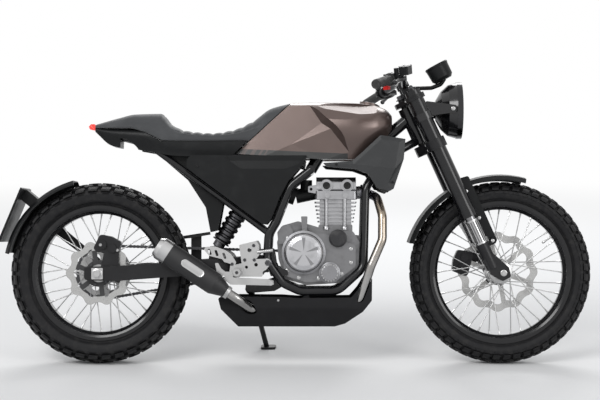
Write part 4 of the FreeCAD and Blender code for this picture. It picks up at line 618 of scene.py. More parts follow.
wheels = {
    # rows and sidePad are (from, to), measured along the tyre's cross-section from the crown
    "front": {"centre": frontCentre, "radius": 308.0, "width": 106.0, "bead": 228.6, "rim": 74.0,
              "rows": ((2.5, 13.0), (19.0, 33.0), (39.0, 62.0)), "sidePad": (68.0, 80.0), "pitches": 52,
              "flangeY": 30.0},
    "rear": {"centre": rearCentre, "radius": 306.0, "width": 130.0, "bead": 215.9, "rim": 98.0,
             "rows": ((2.5, 16.0), (22.0, 39.0), (45.0, 72.0)), "sidePad": (79.0, 94.0), "pitches": 40,
             "flangeY": 33.0},
}
tread = {
    "height": 9.0,
    "share": 0.7,  # of each pitch that a block takes
    "rows": ((0.0, 1.0, 0.25, 3), (0.46, 0.92, -0.3, 3), (0.0, 1.0, 0.12, 4)),  # shift, length, skew, cuts
    "otherSide": 0.14,  # how far the right side's blocks are shifted
    "chamfer": 1.1,
    "steps": 2,  # along a block
    "sidePad": (0.08, 0.62, 2.4),  # from and to in the pitch, and height
    "flatHalf": 13.5,  # of the crown, which the machine leans on
    "crownSlope": 0.37,
    "crownDrop": 21.0,  # from the crown down to the tread's edge
    "edge": 4.0,  # of the tread, in from the tyre's half width
    "camber": 0.1,  # of the flat
    "shoulder": ((1.8, 31.0), (1.0, 40.0)),  # in from the half width, down from the crown
    "sidewall": ((1.4, 0.62), (2.2, 0.5), (4.2, 0.38), (7.4, 0.28)),  # in, share of the height over the bead
    "beadInset": 5.3,  # of the tyre's foot inside the rim's edge
    "heel": (2.5, 0.22),  # out from the foot, and share of the height over the bead
    "bead": ((0.5, 15.5), (0.0, 13.0), (0.0, 0.4)),  # out from the foot, up from the bead
    "beadLines": (22.0, 19.0),
    "beadLine": ((-0.9, -0.3), (-0.4, 0.9), (0.4, 0.9), (0.9, -0.3)),
}


def ease(t):
    t = min(max(t, 0.0), 1.0)
    return t * t * (3 - 2 * t)


def tyreLine(wheel):
    # the cross-section over the block tips, from the crown out to the bead, as (y, radius)
    seat = wheel["rim"] / 2 - tread["beadInset"]
    half = wheel["width"] / 2
    bead = wheel["bead"]
    crown = wheel["radius"]
    flat, slope = tread["flatHalf"], tread["crownSlope"]
    run = half - tread["edge"] - flat
    curve = (tread["crownDrop"] - slope * run) / run ** 2
    line = [(flat * i / 4, crown - tread["camber"] * (i / 4) ** 2) for i in range(5)]
    for i in range(1, 11):
        out = run * i / 10
        line.append((flat + out, crown - tread["camber"] - slope * out - curve * out ** 2))
    line += [(half - inset, crown - drop) for inset, drop in tread["shoulder"]]
    line += [(half - inset, bead + share * (crown - bead)) for inset, share in tread["sidewall"]]
    line.append((seat + tread["heel"][0], bead + tread["heel"][1] * (crown - bead)))
    return line + [(seat + out, bead + rise) for out, rise in tread["bead"]]


def alongLine(line, reach):
    # the point and outward normal that far along the cross-section
    gone = 0.0
    for (y0, r0), (y1, r1) in zip(line, line[1:]):
        step = math.hypot(y1 - y0, r1 - r0)
        if gone + step >= reach or (y1, r1) == line[-1]:
            t = (reach - gone) / step
            return y0 + (y1 - y0) * t, r0 + (r1 - r0) * t, (r0 - r1) / step, (y1 - y0) / step
        gone += step


def makeTyre(end, wheel):
    line = tyreLine(wheel)
    length = sum(math.dist(a, b) for a, b in zip(line, line[1:]))
    depth = tread["height"]
    tip = wheel["rows"][-1][1]
    shape = Shape()

    def place(side, reach, rise, turn):
        y, r, outY, outR = alongLine(line, reach)
        y, r = y + outY * rise, r + outR * rise
        return wheel["centre"] + Vector((r * math.cos(turn), side * y, r * math.sin(turn)))

    def carcass():
        # the floor of the grooves, rising to the bare sidewall beyond the last blocks
        reaches = [tip * i / 14 for i in range(15)] + [tip + 3, tip + 7, tip + 12]
        reaches += [tip + 12 + (length - tip - 12) * i / 12 for i in range(1, 13)]
        stations = [(1, reach) for reach in reversed(reaches)] + [(-1, reach) for reach in reaches[1:]]
        steps = wheel["pitches"] * 4
        shape.rings([[place(side, reach, -depth * (1 - ease((reach - tip + 2) / 9)), 2 * math.pi * k / steps)
                      for side, reach in stations] for k in range(steps)], loop=True)

    def block(side, span, start, end, top, base, skew, across):
        # tapered, with its top edges cut, over a span of the cross-section and a turn of the wheel
        cut = tread["chamfer"]
        along = tread["steps"]
        turned = cut / wheel["radius"]

        def spot(reach, turn, rise):
            return place(side, reach, rise, turn + skew * (reach - span[0]) / wheel["radius"])

        rings = []
        for rise, inset in ((base, 0.0), (top - cut, 0.35), (top, 1.35)):
            low, high = span[0] + inset * cut, span[1] - inset * cut
            a, b = start + inset * turned, end - inset * turned
            corners = ((low, a), (high, a), (high, b), (low, b))
            edge = [(p[0] + (q[0] - p[0]) * i / steps, p[1] + (q[1] - p[1]) * i / steps)
                    for p, q, steps in zip(corners, corners[1:] + corners[:1], (across, along) * 2)
                    for i in range(steps)]
            rings.append([spot(reach, turn, rise) for reach, turn in edge])
        shape.rings(rings, caps=False)
        # the block's top, as strips between its two long edges
        shape.add([spot(low + (high - low) * i / across, a + (b - a) * j / along, top)
                   for i in range(across + 1) for j in range(along + 1)],
                  [(i * (along + 1) + j, (i + 1) * (along + 1) + j, (i + 1) * (along + 1) + j + 1,
                    i * (along + 1) + j + 1) for i in range(across) for j in range(along)])

    carcass()
    pitch = 2 * math.pi / wheel["pitches"]
    padFrom, padTo, padHeight = tread["sidePad"]
    for i in range(wheel["pitches"]):
        for side in (-1, 1):
            start = pitch * i + (0.0 if side > 0 else pitch * tread["otherSide"])
            for span, (shift, long, skew, across) in zip(wheel["rows"], tread["rows"]):
                block(side, span, start + pitch * shift, start + pitch * (shift + tread["share"] * long),
                      0, -depth - 0.6, skew, across)
            block(side, wheel["sidePad"], start + pitch * padFrom, start + pitch * padTo,
                  padHeight, -1.0, 0.0, 2)
    for side in (-1, 1):
        for reach in tread["beadLines"]:
            shape.rings([[place(side, length - reach + out, rise, 2 * math.pi * k / 96) for k in range(96)]
                         for out, rise in tread["beadLine"]], caps=False)
    tyre = shape.built(end + "_tyre_blocks", "tyre", end + "_wheel", angle=40)
    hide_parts(end + "_tyre")


for end, wheel in wheels.items():
    makeTyre(end, wheel)
print("stage: tyres")

spokes = {
    "count": 36,
    "crossing": math.radians(68),  # from a spoke's end at the hub round to its end at the rim
    "hubRadius": 33.0,
    "stagger": 2.0,
    "rimDrop": 15.3,
    "rimY": 5.0,
    "nipple": ((0, 3.4), (5, 3.4), (7, 2.6), (16, 2.6)),
    "head": ((-2.5, 3.2), (-1.5, 3.6), (1.5, 3.6), (2.5, 3.2)),
    "valve": ((0, 6), (4, 6), (5, 3.2), (26, 3.2), (27, 4.4), (36, 4.4), (38, 3)),
    "valveTurn": 0.6,
    "valveDrop": 14.0,
}


def makeNipples(end, wheel):
    shape = Shape()
    centre, bead = wheel["centre"], wheel["bead"]

    def spot(radius, turn, y=0.0):
        return Vector((radius * math.cos(turn), y, radius * math.sin(turn)))

    for number in range(spokes["count"]):
        side = 1 if number % 2 else -1
        lead = 1 if (number // 2) % 2 else -1
        turn = 2 * math.pi * number / spokes["count"]
        hubEnd = spot(spokes["hubRadius"], turn - lead * spokes["crossing"],
                      side * (wheel["flangeY"] - spokes["stagger"] * lead))
        rimEnd = spot(bead - spokes["rimDrop"], turn, side * spokes["rimY"])
        inward = (hubEnd - rimEnd).normalized()
        shape.lathe(spokes["nipple"], centre + rimEnd - inward * 0.5, inward, 8)
        shape.lathe(spokes["head"], centre + hubEnd, (0, 1, 0), 8)
    valve = spot(bead - spokes["valveDrop"], spokes["valveTurn"])
    shape.lathe(spokes["valve"], centre + valve, -valve, 12)
    shape.built(end + "_nipples", "steel", end + "_wheel")


for end, wheel in wheels.items():
    makeNipples(end, wheel)
print("stage: spoke nipples")

# Seat: foam and cover in one skin, with sewn channels across the rider's part

seatForm = {
    # place, top, half width, half width at the foot, widest height, fullness
    "slices": ((-16, 812, 42, 42, 796, 2.4), (60, 833, 66, 66, 806, 2.6), (120, 846, 84, 84, 806, 2.8),
               (206, 848, 100, 98, 800, 2.8), (246, 808, 104, 102, 778, 2.8), (300, 788, 106, 104, 768, 3.0),
               (380, 781, 102, 100, 764, 3.0), (450, 792, 92, 90, 768, 2.8), (520, 824, 82, 82, 782, 2.6),
               (580, 866, 78, 80, 800, 2.6), (660, 887, 80, 84, 810, 2.6)),
    "foot": ((-40, 799.5), (110, 796), (156, 781), (213, 751), (720, 751)),
    "footTuck": 2.5,
    "start": -18.5,
    "seamLow": (461.0, 708.0),  # the joint to the tank, in side view
    "seamHigh": (657.0, 888.0),
    "seamGap": 3.4,
    "seamStations": (560.0, 420.0),  # the last row's place, and the length over which the rows gather to it
    "channels": (250.7, 553.0),  # where the sewn channels start and end
    "channelPitch": 33.5,
    "channelDepth": 6.0,
    "channelFade": 14.0,
    "seamTurn": 0.3,  # how far round from the side the channels end, in radians
    "seamDepth": 2.6,
    "humpSeam": (217.0, 2.2, 2.2),  # place, depth and width of the hump's own cross seam
    "over": 0.72,  # the share of a slice that goes over the top
    "bulge": 1.6,
    "rows": 250,
    "across": 86,
    "ends": ((-1, 3.2), (-2, 0.8), (0, 3.0), (1, 1.0)),  # rows drawn in to round the two ends, and how far
    "stitch": (4.2, 6.0, 0.13),  # length, pitch and turn below the long seam
}


def steadySlopes(xs, values):
    steps = [(b - a) / (q - p) for a, b, p, q in zip(values, values[1:], xs, xs[1:])]
    slopes = [steps[0]]
    for before, after in zip(steps, steps[1:]):
        slopes.append(0.0 if before * after <= 0 else 2 * before * after / (before + after))
    return slopes + [steps[-1]]


seatXs, *seatValues = zip(*seatForm["slices"])
seatSlopes = [steadySlopes(seatXs, values) for values in seatValues]


def seatSlice(x):
    # top, half width, half width at the foot, widest height and fullness at a place along the seat
    x = min(max(x, seatXs[0]), seatXs[-1])
    i = max(k for k in range(len(seatXs) - 1) if seatXs[k] <= x)
    span = seatXs[i + 1] - seatXs[i]
    t = (x - seatXs[i]) / span
    return [(2 * t ** 3 - 3 * t ** 2 + 1) * values[i] + (t ** 3 - 2 * t ** 2 + t) * slopes[i] * span
            + (3 * t ** 2 - 2 * t ** 3) * values[i + 1] + (t ** 3 - t ** 2) * slopes[i + 1] * span
            for values, slopes in zip(seatValues, seatSlopes)]


def seatFoot(x):
    run = seatForm["foot"]
    for (x0, z0), (x1, z1) in zip(run, run[1:]):
        if x <= x1:
            return z0 + (z1 - z0) * (x - x0) / (x1 - x0)
    return run[-1][1]


def seamPlace(z):
    (x0, z0), (x1, z1) = seatForm["seamLow"], seatForm["seamHigh"]
    return x0 + (z - z0) * (x1 - x0) / (z1 - z0) - seatForm["seamGap"]


def seatPoint(x, v):
    # v runs from -1 at the right foot over the top to 1 at the left foot
    top, half, footHalf, waist, fullness = seatSlice(x)
    foot = seatFoot(x)
    waist = max(waist, foot + 1)
    over = seatForm["over"]
    if abs(v) > over:
        t = (1 - abs(v)) / (1 - over)
        y = footHalf + (half - footHalf) * t
        y += seatForm["bulge"] * math.sin(math.pi * min(t, 0.95)) * ease((x + 16) / 60)
        y -= seatForm["footTuck"] * (1 - ease(t / 0.14))
        return y * math.copysign(1, v), foot + (waist - foot) * t
    turn = math.pi / 2 * (1 - abs(v) / over)
    along, up = abs(math.cos(turn)), abs(math.sin(turn))
    power = 2 / fullness
    y = half * along ** power
    z = waist + (top - waist) * up ** power
    low, high = seatForm["channels"]
    inside = ease((x - low) / seatForm["channelFade"]) * ease((high - x) / seatForm["channelFade"])
    if inside > 0:
        out = Vector((along ** (2 - power) / half, up ** (2 - power) / (top - waist))).normalized()
        wave = abs(math.sin(math.pi * (x - low) / seatForm["channelPitch"])) ** 0.5
        past = turn - seatForm["seamTurn"]
        sink = seatForm["channelDepth"] * (1 - wave) * ease(past / 0.12)
        sink = inside * (sink + seatForm["seamDepth"] * math.exp(-(past / 0.05) ** 2))
        y, z = y - out.x * sink, z - out.y * sink
    place, depth, width = seatForm["humpSeam"]
    z -= depth * math.exp(-((x - place) / width) ** 2)
    return y * math.copysign(1, v), z


def makeSeat(form):
    # the rows turn from upright ones to the slant of the joint to the tank
    last, run = form["seamStations"]
    rings = []
    for k in range(form["rows"] + 1):
        s = k / form["rows"]
        station = form["start"] + (last - form["start"]) * s
        slant = ease((s - 0.55) / 0.45)
        ring = []
        for i in range(form["across"] + 1):
            v = -1 + 2 * i / form["across"]
            x = station
            for _ in range(6):  # the slant's place depends on the height found there
                x = station * (1 - slant) + (seamPlace(seatPoint(x, v)[1]) - (1 - s) * run) * slant
            ring.append(Vector((x, *seatPoint(x, v))))
        rings.append(ring)
    for k, pull in form["ends"]:
        middle = sum(rings[k], Vector()) / len(rings[k])
        rings[k] = [p + (middle - p).normalized() * pull for p in rings[k]]
    seat = Shape().rings(rings).built("padded_seat", "seat_cloth", divisions=1)
    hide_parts("seat")


def makeSeatStitches(form):
    # a row of short stitches below each long seam
    shape = Shape()
    low, high = form["channels"]
    long, pitch, below = form["stitch"]
    v = form["over"] * (1 - (form["seamTurn"] - below) / (math.pi / 2))
    for side in (-1, 1):
        x = low + 4
        while x < high - 4:
            ends = []
            for px in (x, x + long):
                y, z = seatPoint(px, side * v)
                ends.append(Vector((px, y + side * 0.3, z)))
            middle = (ends[0] + ends[1]) / 2 + Vector((0, side * 0.35, 0))
            shape.tube([ends[0], middle, ends[1]], [0.3, 0.5, 0.3], 5)
            x += pitch
    shape.built("seat_stitches", "seat_cloth", finish=threadGrey)


makeSeat(seatForm)
makeSeatStitches(seatForm)
print("stage: seat")

# Fasteners, set down on the surfaces that carry them


def landed(node, start, way):
    # where a line from an upright-frame place first meets a node
    hit, place, _, _ = nodes[node].ray_cast(upright @ Vector(start), leaned(way))
    if not hit:
        raise ValueError("nothing of " + node + " at " + str(tuple(start)))
    return toUpright @ place


def sideways(node, places, sides=(-1, 1)):
    # a node and the lines that come in to it from the machine's sides, at (x, z) places
    return [(node, (x, 500.0 * side, z), (0, -side, 0)) for x, z in places for side in sides]


def ringOf(node, centre, radius, count, side, start=0.0):
    turns = [math.radians(start + 360 * i / count) for i in range(count)]
    places = [(centre[0] + radius * math.cos(t), centre[1] + radius * math.sin(t)) for t in turns]
    return sideways(node, places, (side,))


def forkSide(node, places):
    # the same at places on the fork
    return [(node, onFork(*place, 300.0 * side), (0, -side, 0)) for place in places for side in (-1, 1)]


def forkFacing(node, way, places):
    # lines that come from 60 in front of a place on the fork
    return [(node, onFork(*place) - way * 60, way) for place in places]


bolts = {  # by body: name, head, size, slot and the lines that find its places
    "chassis": (
        ("engine_bolts", "hexBolt", 5.2, "steel",
         sideways("crankcase", ((636, 316), (638, 424), (674, 291), (741, 289), (818, 305), (850, 342),
                                (850, 388)), (-1,))),
        ("stator_screws", "capScrew", 4.2, "steel", ringOf("engine_covers", (772, 356), 61, 6, 1, 20)),
        ("rest_bolts", "capScrew", 5.5, "dark_steel",
         sideways("footrests", ((568, 344), (471, 312), (452, 338), (494, 352), (526, 352), (524, 400)))),
        ("pan_screws", "capScrew", 4.0, "steel", sideways("belly_pan", ((606, 217), (896, 262), (470, 216)))),
        ("cover_screws", "capScrew", 4.6, "chassis_black", sideways("side_covers", ((580, 500), (334, 664)))),
        ("pivot_nuts", "hexBolt", 12.0, "dark_steel", sideways("frame", ((571, 342),))),
        ("rear_axle_nuts", "hexBolt", 15.0, "steel", sideways("rear_axle", ((0, 306),))),
        ("rear_caliper_pins", "capScrew", 5.0, "steel",
         sideways("rear_caliper", ((10, 402), (66, 384)), (-1,))),
        ("guard_bolts", "hexBolt", 5.0, "dark_steel",
         sideways("rear_mudguard", ((-14, 336), (-234, 514)), (1,)))),
    "steering": (
        ("front_axle_nuts", "hexBolt", 9.5, "steel", sideways("front_axle", ((1360, 308),))),
        ("lamp_bolts", "hexBolt", 6.0, "steel", sideways("headlamp", ((1193, 860),))),
        ("mudguard_bolts", "hexBolt", 5.0, "steel",
         forkSide("front_mudguard", ((74, 112), (66, 200), (64, 300)))),
        ("front_caliper_pins", "capScrew", 5.0, "steel",
         sideways("front_caliper", ((1240, 350), (1236, 322)), (1,))),
        ("yoke_screws", "capScrew", 4.4, "steel",
         forkFacing("yokes", forkForward, [(-50, up, y) for up in (478, 496, 658) for y in (-84, 84)])),
        ("stem_nut", "hexBolt", 17.0, "dark_steel", forkFacing("yokes", -forkUp, [(0, 700)])),
        ("fork_adjusters", "hexBolt", 10.0, "dark_steel",
         forkFacing("fork_tubes", -forkUp, [(35, 700, y) for y in (-95, 95)]))),
    "front_wheel": (
        ("front_disc_bolts", "capScrew", 4.6, "dark_steel",
         ringOf("front_disc", (1360, 308), 38.5, 6, 1, 12)),),
    "rear_wheel": (
        ("rear_disc_bolts", "capScrew", 4.6, "dark_steel", ringOf("rear_disc", (0, 306), 38.5, 6, -1, 12)),
        ("sprocket_nuts", "hexBolt", 5.5, "steel", ringOf("rear_sprocket", (0, 306), 36.5, 6, 1, 30))),
}
boltSinks = {"rear_axle_nuts": 7.9, "front_axle_nuts": 6.0}  # how deep these heads sit in what carries them


def makeBolts(body, name, head, size, slot, spots):
    shape = Shape()
    for node, start, way in spots:
        way = Vector(way).normalized()
        place = landed(node, start, way) + way * (boltSinks.get(name, 0.0) + 0.2)
        getattr(shape, head)(place, -way, size)
    shape.built(name, slot, body)


for body, groups in bolts.items():
    for group in groups:
        makeBolts(body, *group)
print("stage: fasteners")

# Engine trim: head plugs, filter cover knobs, stud columns and the header's flange

engineTrim = {
    "plugs": ((768, 602), (838, 602)),
    "plug": ((0, 12.5), (1.4, 12.5), (2.0, 11.4), (1.0, 9.6), (1.0, 3.0), (2.2, 2.6), (2.2, 0.01)),
    "filterCover": (778, 308),
    "knobs": 18,
    "knobRing": 27.4,
    "knob": ((-1.0, 2.9), (2.4, 2.7), (3.4, 1.6)),
    "columns": ((767.0, -61.0, 462.0), (829.0, -61.0, 462.0)),
    "column": ((0, 6.5), (95.0, 6.5)),
    "columnFoot": ((-9.0, 10.0), (0.0, 10.0), (5.0, 6.5)),
    "port": (888.0, 0.0, 580.0),
    "flange": ((-1.0, 27.0), (3.0, 27.0), (4.0, 26.0), (4.0, 17.0)),
    "flangeNuts": ((892.0, 20.0, 588.0), (892.0, -20.0, 572.0)),
    "nutSize": 5.5,
}


def makeEngineTrim(trim):
    plugs = Shape()
    for x, z in trim["plugs"]:
        plugs.lathe(trim["plug"], landed("cylinder_head", (x, -500, z), (0, 1, 0)), (0, -1, 0), 28)
    plugs.built("cam_plugs", "rubber")
    knobs = Shape()
    for node, start, way in ringOf("engine_covers", trim["filterCover"], trim["knobRing"], trim["knobs"], -1):
        knobs.lathe(trim["knob"], landed(node, start, way), (0, -1, 0), 8)
    knobs.built("filter_cover_knobs", "bare_aluminium", finish=fineAlloy)
    columns = Shape()
    for foot in trim["columns"]:
        columns.lathe(trim["column"], foot, (0, 0, 1), 20).lathe(trim["columnFoot"], foot, (0, 0, 1), 20)
    columns.built("stud_columns", "bare_aluminium")
    flange = Shape()
    for place in trim["flangeNuts"]:
        flange.hexBolt(place, (1, 0, 0), trim["nutSize"])
    flange.lathe(trim["flange"], trim["port"], (1, 0, 0)).built("port_flange", "dark_steel")


makeEngineTrim(engineTrim)
print("stage: engine trim")

# Tank shrouds: thin panels with a crease that is proud of the faces above and below it

shroudForm = {
    "outer": 136.0,  # half width over the crease
    "inner": 113.0,
    "wall": 3.0,
    # (x, z, how far inside the outer width)
    "rim": ((756, 676, 6.0), (852, 682, 6.0), (886, 712, 8.0), (948, 770, 15.0), (1032, 757, 18.8),
            (1026, 690, 14.0), (992, 590, 17.0), (978, 582, 17.0), (936, 592, 14.4), (906, 640, 5.9),
            (862, 656, 4.0), (768, 664, 5.0)),
    "crest": ((764, 670, 3.0), (858, 672, 1.0), (892, 703, 4.2), (951, 756, 9.8), (1010, 746, 9.0),
              (996, 657, 0.0), (972, 604, 11.0)),
    # corners by number, first those of the rim and then those of the crest
    "faces": ((11, 0, 12), (0, 1, 13, 12), (1, 2, 14, 13), (2, 3, 15, 14), (3, 4, 16, 15), (4, 5, 17, 16),
              (5, 18, 17), (5, 6, 18), (6, 7, 18), (7, 8, 18), (13, 17, 18, 8, 9, 10), (12, 13, 10, 11),
              (13, 14, 15, 16, 17)),
    "boss": ((0, 8.0), (22, 8.0)),
    "bossFoot": (990.0, -106.3, 660.0),
    "screws": ((988, 612, 8.7, (-0.028, -1, -0.195)), (800, 671, 2.6, (0, -1, 0))),
    "screwSize": 4.6,
}


def makeShrouds(form):
    rim = form["rim"]
    points = [(x, depth - form["outer"], z) for x, z, depth in rim + form["crest"]]
    back = len(points)
    points += [(x, -form["inner"], z) for x, z, _ in rim]
    sides = [(i, back + i, back + (i + 1) % len(rim), (i + 1) % len(rim)) for i in range(len(rim))]
    panel = Shape().add(points, list(form["faces"]) + sides)
    panels = panel.mirrored().joined(panel)
    panels = panels.built("shroud_panels", "grey_plastic", bevel=1.2, angle=7, wall=form["wall"])
    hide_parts("tank_shrouds")
    boss = Shape().lathe(form["boss"], form["bossFoot"], (0, -1, 0), 20)
    boss.joined(boss.mirrored()).built("shroud_bosses", "chassis_black")
    screws = Shape()
    for x, z, depth, facing in form["screws"]:
        screws.capScrew((x, depth - form["outer"], z), facing, form["screwSize"])
    screws.joined(screws.mirrored()).built("shroud_screws", "chassis_black")


makeShrouds(shroudForm)
print("stage: shrouds")

# Ribbed sleeves round the stanchions, between the castings and the fork tubes

sleeve = {
    "foot": onFork(35.0, 119.0, 95.0),
    "tall": 86.0,
    "ribs": 16,
    "ribShare": 0.5,
    "inner": 18.2,
    "outer": 21.2,
    "collar": ((0.0, 18.2), (0.0, 21.8), (6.0, 21.8), (6.0, 18.2)),
}


def makeSleeves(form):
    shape = Shape()
    axis, first, second = squareTo(forkUp)
    inner, outer, tall = form["inner"], form["outer"], form["tall"]
    # the ribs stand apart, so the darkened stanchion shows between them as painted shade
    for i in range(form["ribs"]):
        turns = [(radius, 2 * math.pi * (i + share * form["ribShare"]) / form["ribs"])
                 for radius, share in ((inner, 0), (outer, 0.1), (outer, 0.9), (inner, 1))]
        corners = [form["foot"] + around(first, second, turn) * radius for radius, turn in turns]
        shape.rings([corners, [p + axis * tall for p in corners]])
    for low in (0.0, tall - form["collar"][-1][0]):
        shape.lathe([(low + rise, radius) for rise, radius in form["collar"]], form["foot"], axis, caps=False)
    shape.joined(shape.mirrored()).built("stanchion_sleeves", "steel", "steering")


makeSleeves(sleeve)
print("stage: fork sleeves")

# Silencer: clamp and a blank badge

silencer = {
    "nose": Vector((444, -157, 241)),
    "tail": Vector((233, -166, 381)),
    "radius": 38.0,
    "badge": (105.0, 190.0),  # from and to, along the silencer from its nose
    "badgeHalf": 13.0,
    "badgeTurn": 8.0,  # degrees up from straight out
    "badgeEdge": 24,
    "badgeTaper": 0.32,  # how much of a ring's share also shortens it
    # rise and share of the outline
    "badgeRings": ((0.2, 1.0), (1.2, 1.0), (1.6, 0.94), (1.25, 0.9), (1.25, 0.45), (1.25, 0.02)),
    "clamp": ((1.0, 19.6), (1.0, 21.6), (13.0, 22.6), (13.0, 19.6)),
    "clampBolt": (7.0, 21.0, 5.0),  # along, out and size
}


def makeSilencerTrim(can):
    axis = (can["tail"] - can["nose"]).normalized()
    out = (Vector((0, -1, 0)) - axis * axis.dot(Vector((0, -1, 0)))).normalized()
    up = axis.cross(out)
    up *= math.copysign(1, up.z)
    low, high = can["badge"]
    middle, half, count = (low + high) / 2, can["badgeHalf"], can["badgeEdge"]
    edge = []
    for end, start in ((high - half, math.pi / 2), (low + half, -math.pi / 2)):
        turns = [start - math.pi * i / (count - 1) for i in range(count)]
        edge += [(end + half * math.cos(turn), half * math.sin(turn)) for turn in turns]
    rings = []
    for rise, share in can["badgeRings"]:
        ring = []
        for along, across in edge:
            along = middle + (along - middle) * (1 - (1 - share) * can["badgeTaper"])
            turn = math.radians(can["badgeTurn"]) + across * share / can["radius"]
            ring.append(can["nose"] + axis * along + around(out, up, turn) * (can["radius"] + rise))
        rings.append(ring)
    Shape().rings(rings).built("silencer_badge", "bare_aluminium", finish=fineAlloy)
    clamp = Shape().lathe(can["clamp"], can["nose"], axis, 40)
    along, reach, size = can["clampBolt"]
    clamp.hexBolt(can["nose"] + axis * along + out * reach, out, size).built("silencer_clamp", "steel")


makeSilencerTrim(silencer)
print("stage: silencer trim")

# Chain: outer and inner plates on rollers, round the same path as the solid chain

chainForm = {
    "rear": (0.0, 306.0, 91.67),
    "front": (648.0, 352.0, 27.0),
    "y": 76.0,
    "pitch": 12.7,
    "plates": ((2.9, 4.5), (4.7, 6.2)),  # inner and outer ones, from and to beside the middle
    "eye": 5.6,
    "eyeTurn": 1.2,
    "waist": 4.0,
    "pin": ((0, 2.0), (6.6, 2.0), (6.9, 1.5)),
    "roller": ((-2.8, 4.0), (2.8, 4.0)),
}


def chainPath(form):
    # the pitch line as evenly spaced pins
    (x0, z0, big), (x1, z1, small) = form["rear"], form["front"]
    tilt = math.atan2(z1 - z0, x1 - x0)
    splay = math.acos((big - small) / math.hypot(x1 - x0, z1 - z0))
    line = []
    for x, z, radius, start, sweep in ((x0, z0, big, tilt + splay, 2 * (math.pi - splay)),
                                       (x1, z1, small, tilt - splay, 2 * splay)):
        turns = [start + sweep * i / 60 for i in range(61)]
        line += [(x + radius * math.cos(turn), z + radius * math.sin(turn)) for turn in turns]
    line.append(line[0])
    length = sum(math.dist(a, b) for a, b in zip(line, line[1:]))
    count = 2 * round(length / form["pitch"] / 2)
    pins, gone, want = [], 0.0, 0.0
    for a, b in zip(line, line[1:]):
        step = math.dist(a, b)
        while want <= gone + step and len(pins) < count:
            t = (want - gone) / step if step else 0.0
            pins.append((a[0] + (b[0] - a[0]) * t, a[1] + (b[1] - a[1]) * t))
            want += length / count
        gone += step
    return pins


def linkOutline(a, b, form):
    # a figure of eight round two pins
    run = math.atan2(b[1] - a[1], b[0] - a[0])
    middle = ((a[0] + b[0]) / 2, (a[1] + b[1]) / 2)
    half = form["eyeTurn"]
    ring = []
    for centre, turn in ((b, run), (a, run + math.pi)):
        spots = [(centre, form["eye"], turn - half + 2 * half * i / 6) for i in range(7)]
        spots.append((middle, form["waist"], turn + math.pi / 2))
        ring += [(x + reach * math.cos(t), z + reach * math.sin(t)) for (x, z), reach, t in spots]
    return ring


def makeChain(form):
    pins = chainPath(form)
    plates, rollers = Shape(), Shape()
    y = form["y"]
    for i, (x, z) in enumerate(pins):
        ring = linkOutline((x, z), pins[(i + 1) % len(pins)], form)
        low, high = form["plates"][i % 2]
        plates.slab(ring, y + low, y + high)
        plates.slab(ring, y - high, y - low)
        for side in (-1, 1):
            plates.lathe(form["pin"], (x, y, z), (0, side, 0), 8)
        rollers.lathe(form["roller"], (x, y, z), (0, 1, 0), 12)
    links = plates.joined(rollers).built("chain_links", "dark_steel")
    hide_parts("chain")


makeChain(chainForm)
print("stage: chain")

# Handlebar: screws, clamps and switches. A perch place is back from the left tip, ahead of and over the bar.

handlebar = {
    "middle": onFork(22.0, 712.0),
    "bend": Vector((-10.0, 168.0, 26.0)),
    "tip": Vector((-108.0, 388.0, -24.0)),
    "pivot": (142, 42, 7),
    "pivotSize": 6.0,
    "perchScrews": ((133, -4, 17.5), (151, -4, 17.5)),
    "lidScrews": ((179, 29, 38), (179, 55, 38), (137, 29, 38), (137, 55, 38)),
    "screwSize": 3.4,
    "lidScrewSize": 2.6,
    "clampY": (-38, 38),
    "clampHalf": 10.5,
    "clamp": ((4, 706), (4, 722), (8, 727), (14, 730), (30, 730), (36, 727), (40, 722), (40, 706)),
    "clampScrews": ((9, 727), (35, 727)),
    # runs back, ahead and up
    "leftSwitches": (((120, 130), (-22, -10), (12, 19)), ((120, 128), (-24, -16), (0, 8)),
                     ((120, 128), (-24, -16), (-12, -4))),
    "rightSwitch": ((120, 130), (-22, -10), (12, 17)),
    "stopSwitch": ((116, 134), (-24, -6), (-33, -8)),
}
barTip = handlebar["middle"] + handlebar["tip"]
barAlong = (handlebar["tip"] - handlebar["bend"]).normalized()
barAhead = Vector((0, 0, 1)).cross(barAlong).normalized()
barAhead *= math.copysign(1, barAhead.x)
barRise = barAhead.cross(barAlong).normalized()
barRise *= math.copysign(1, barRise.z)


def onPerch(back, ahead, rise):
    return barTip - barAlong * back + barAhead * ahead + barRise * rise


def perchBlock(back, ahead, rise, inset=0.6):
    # a small block with softened top edges
    rings = []
    for level, pull in ((rise[0], 0.0), (rise[1] - inset, 0.0), (rise[1], inset)):
        (near, far), (low, high) = [(run[0] + pull, run[1] - pull) for run in (back, ahead)]
        rings.append([onPerch(b, a, level) for b, a in ((near, low), (far, low), (far, high), (near, high))])
    return Shape().rings(rings)


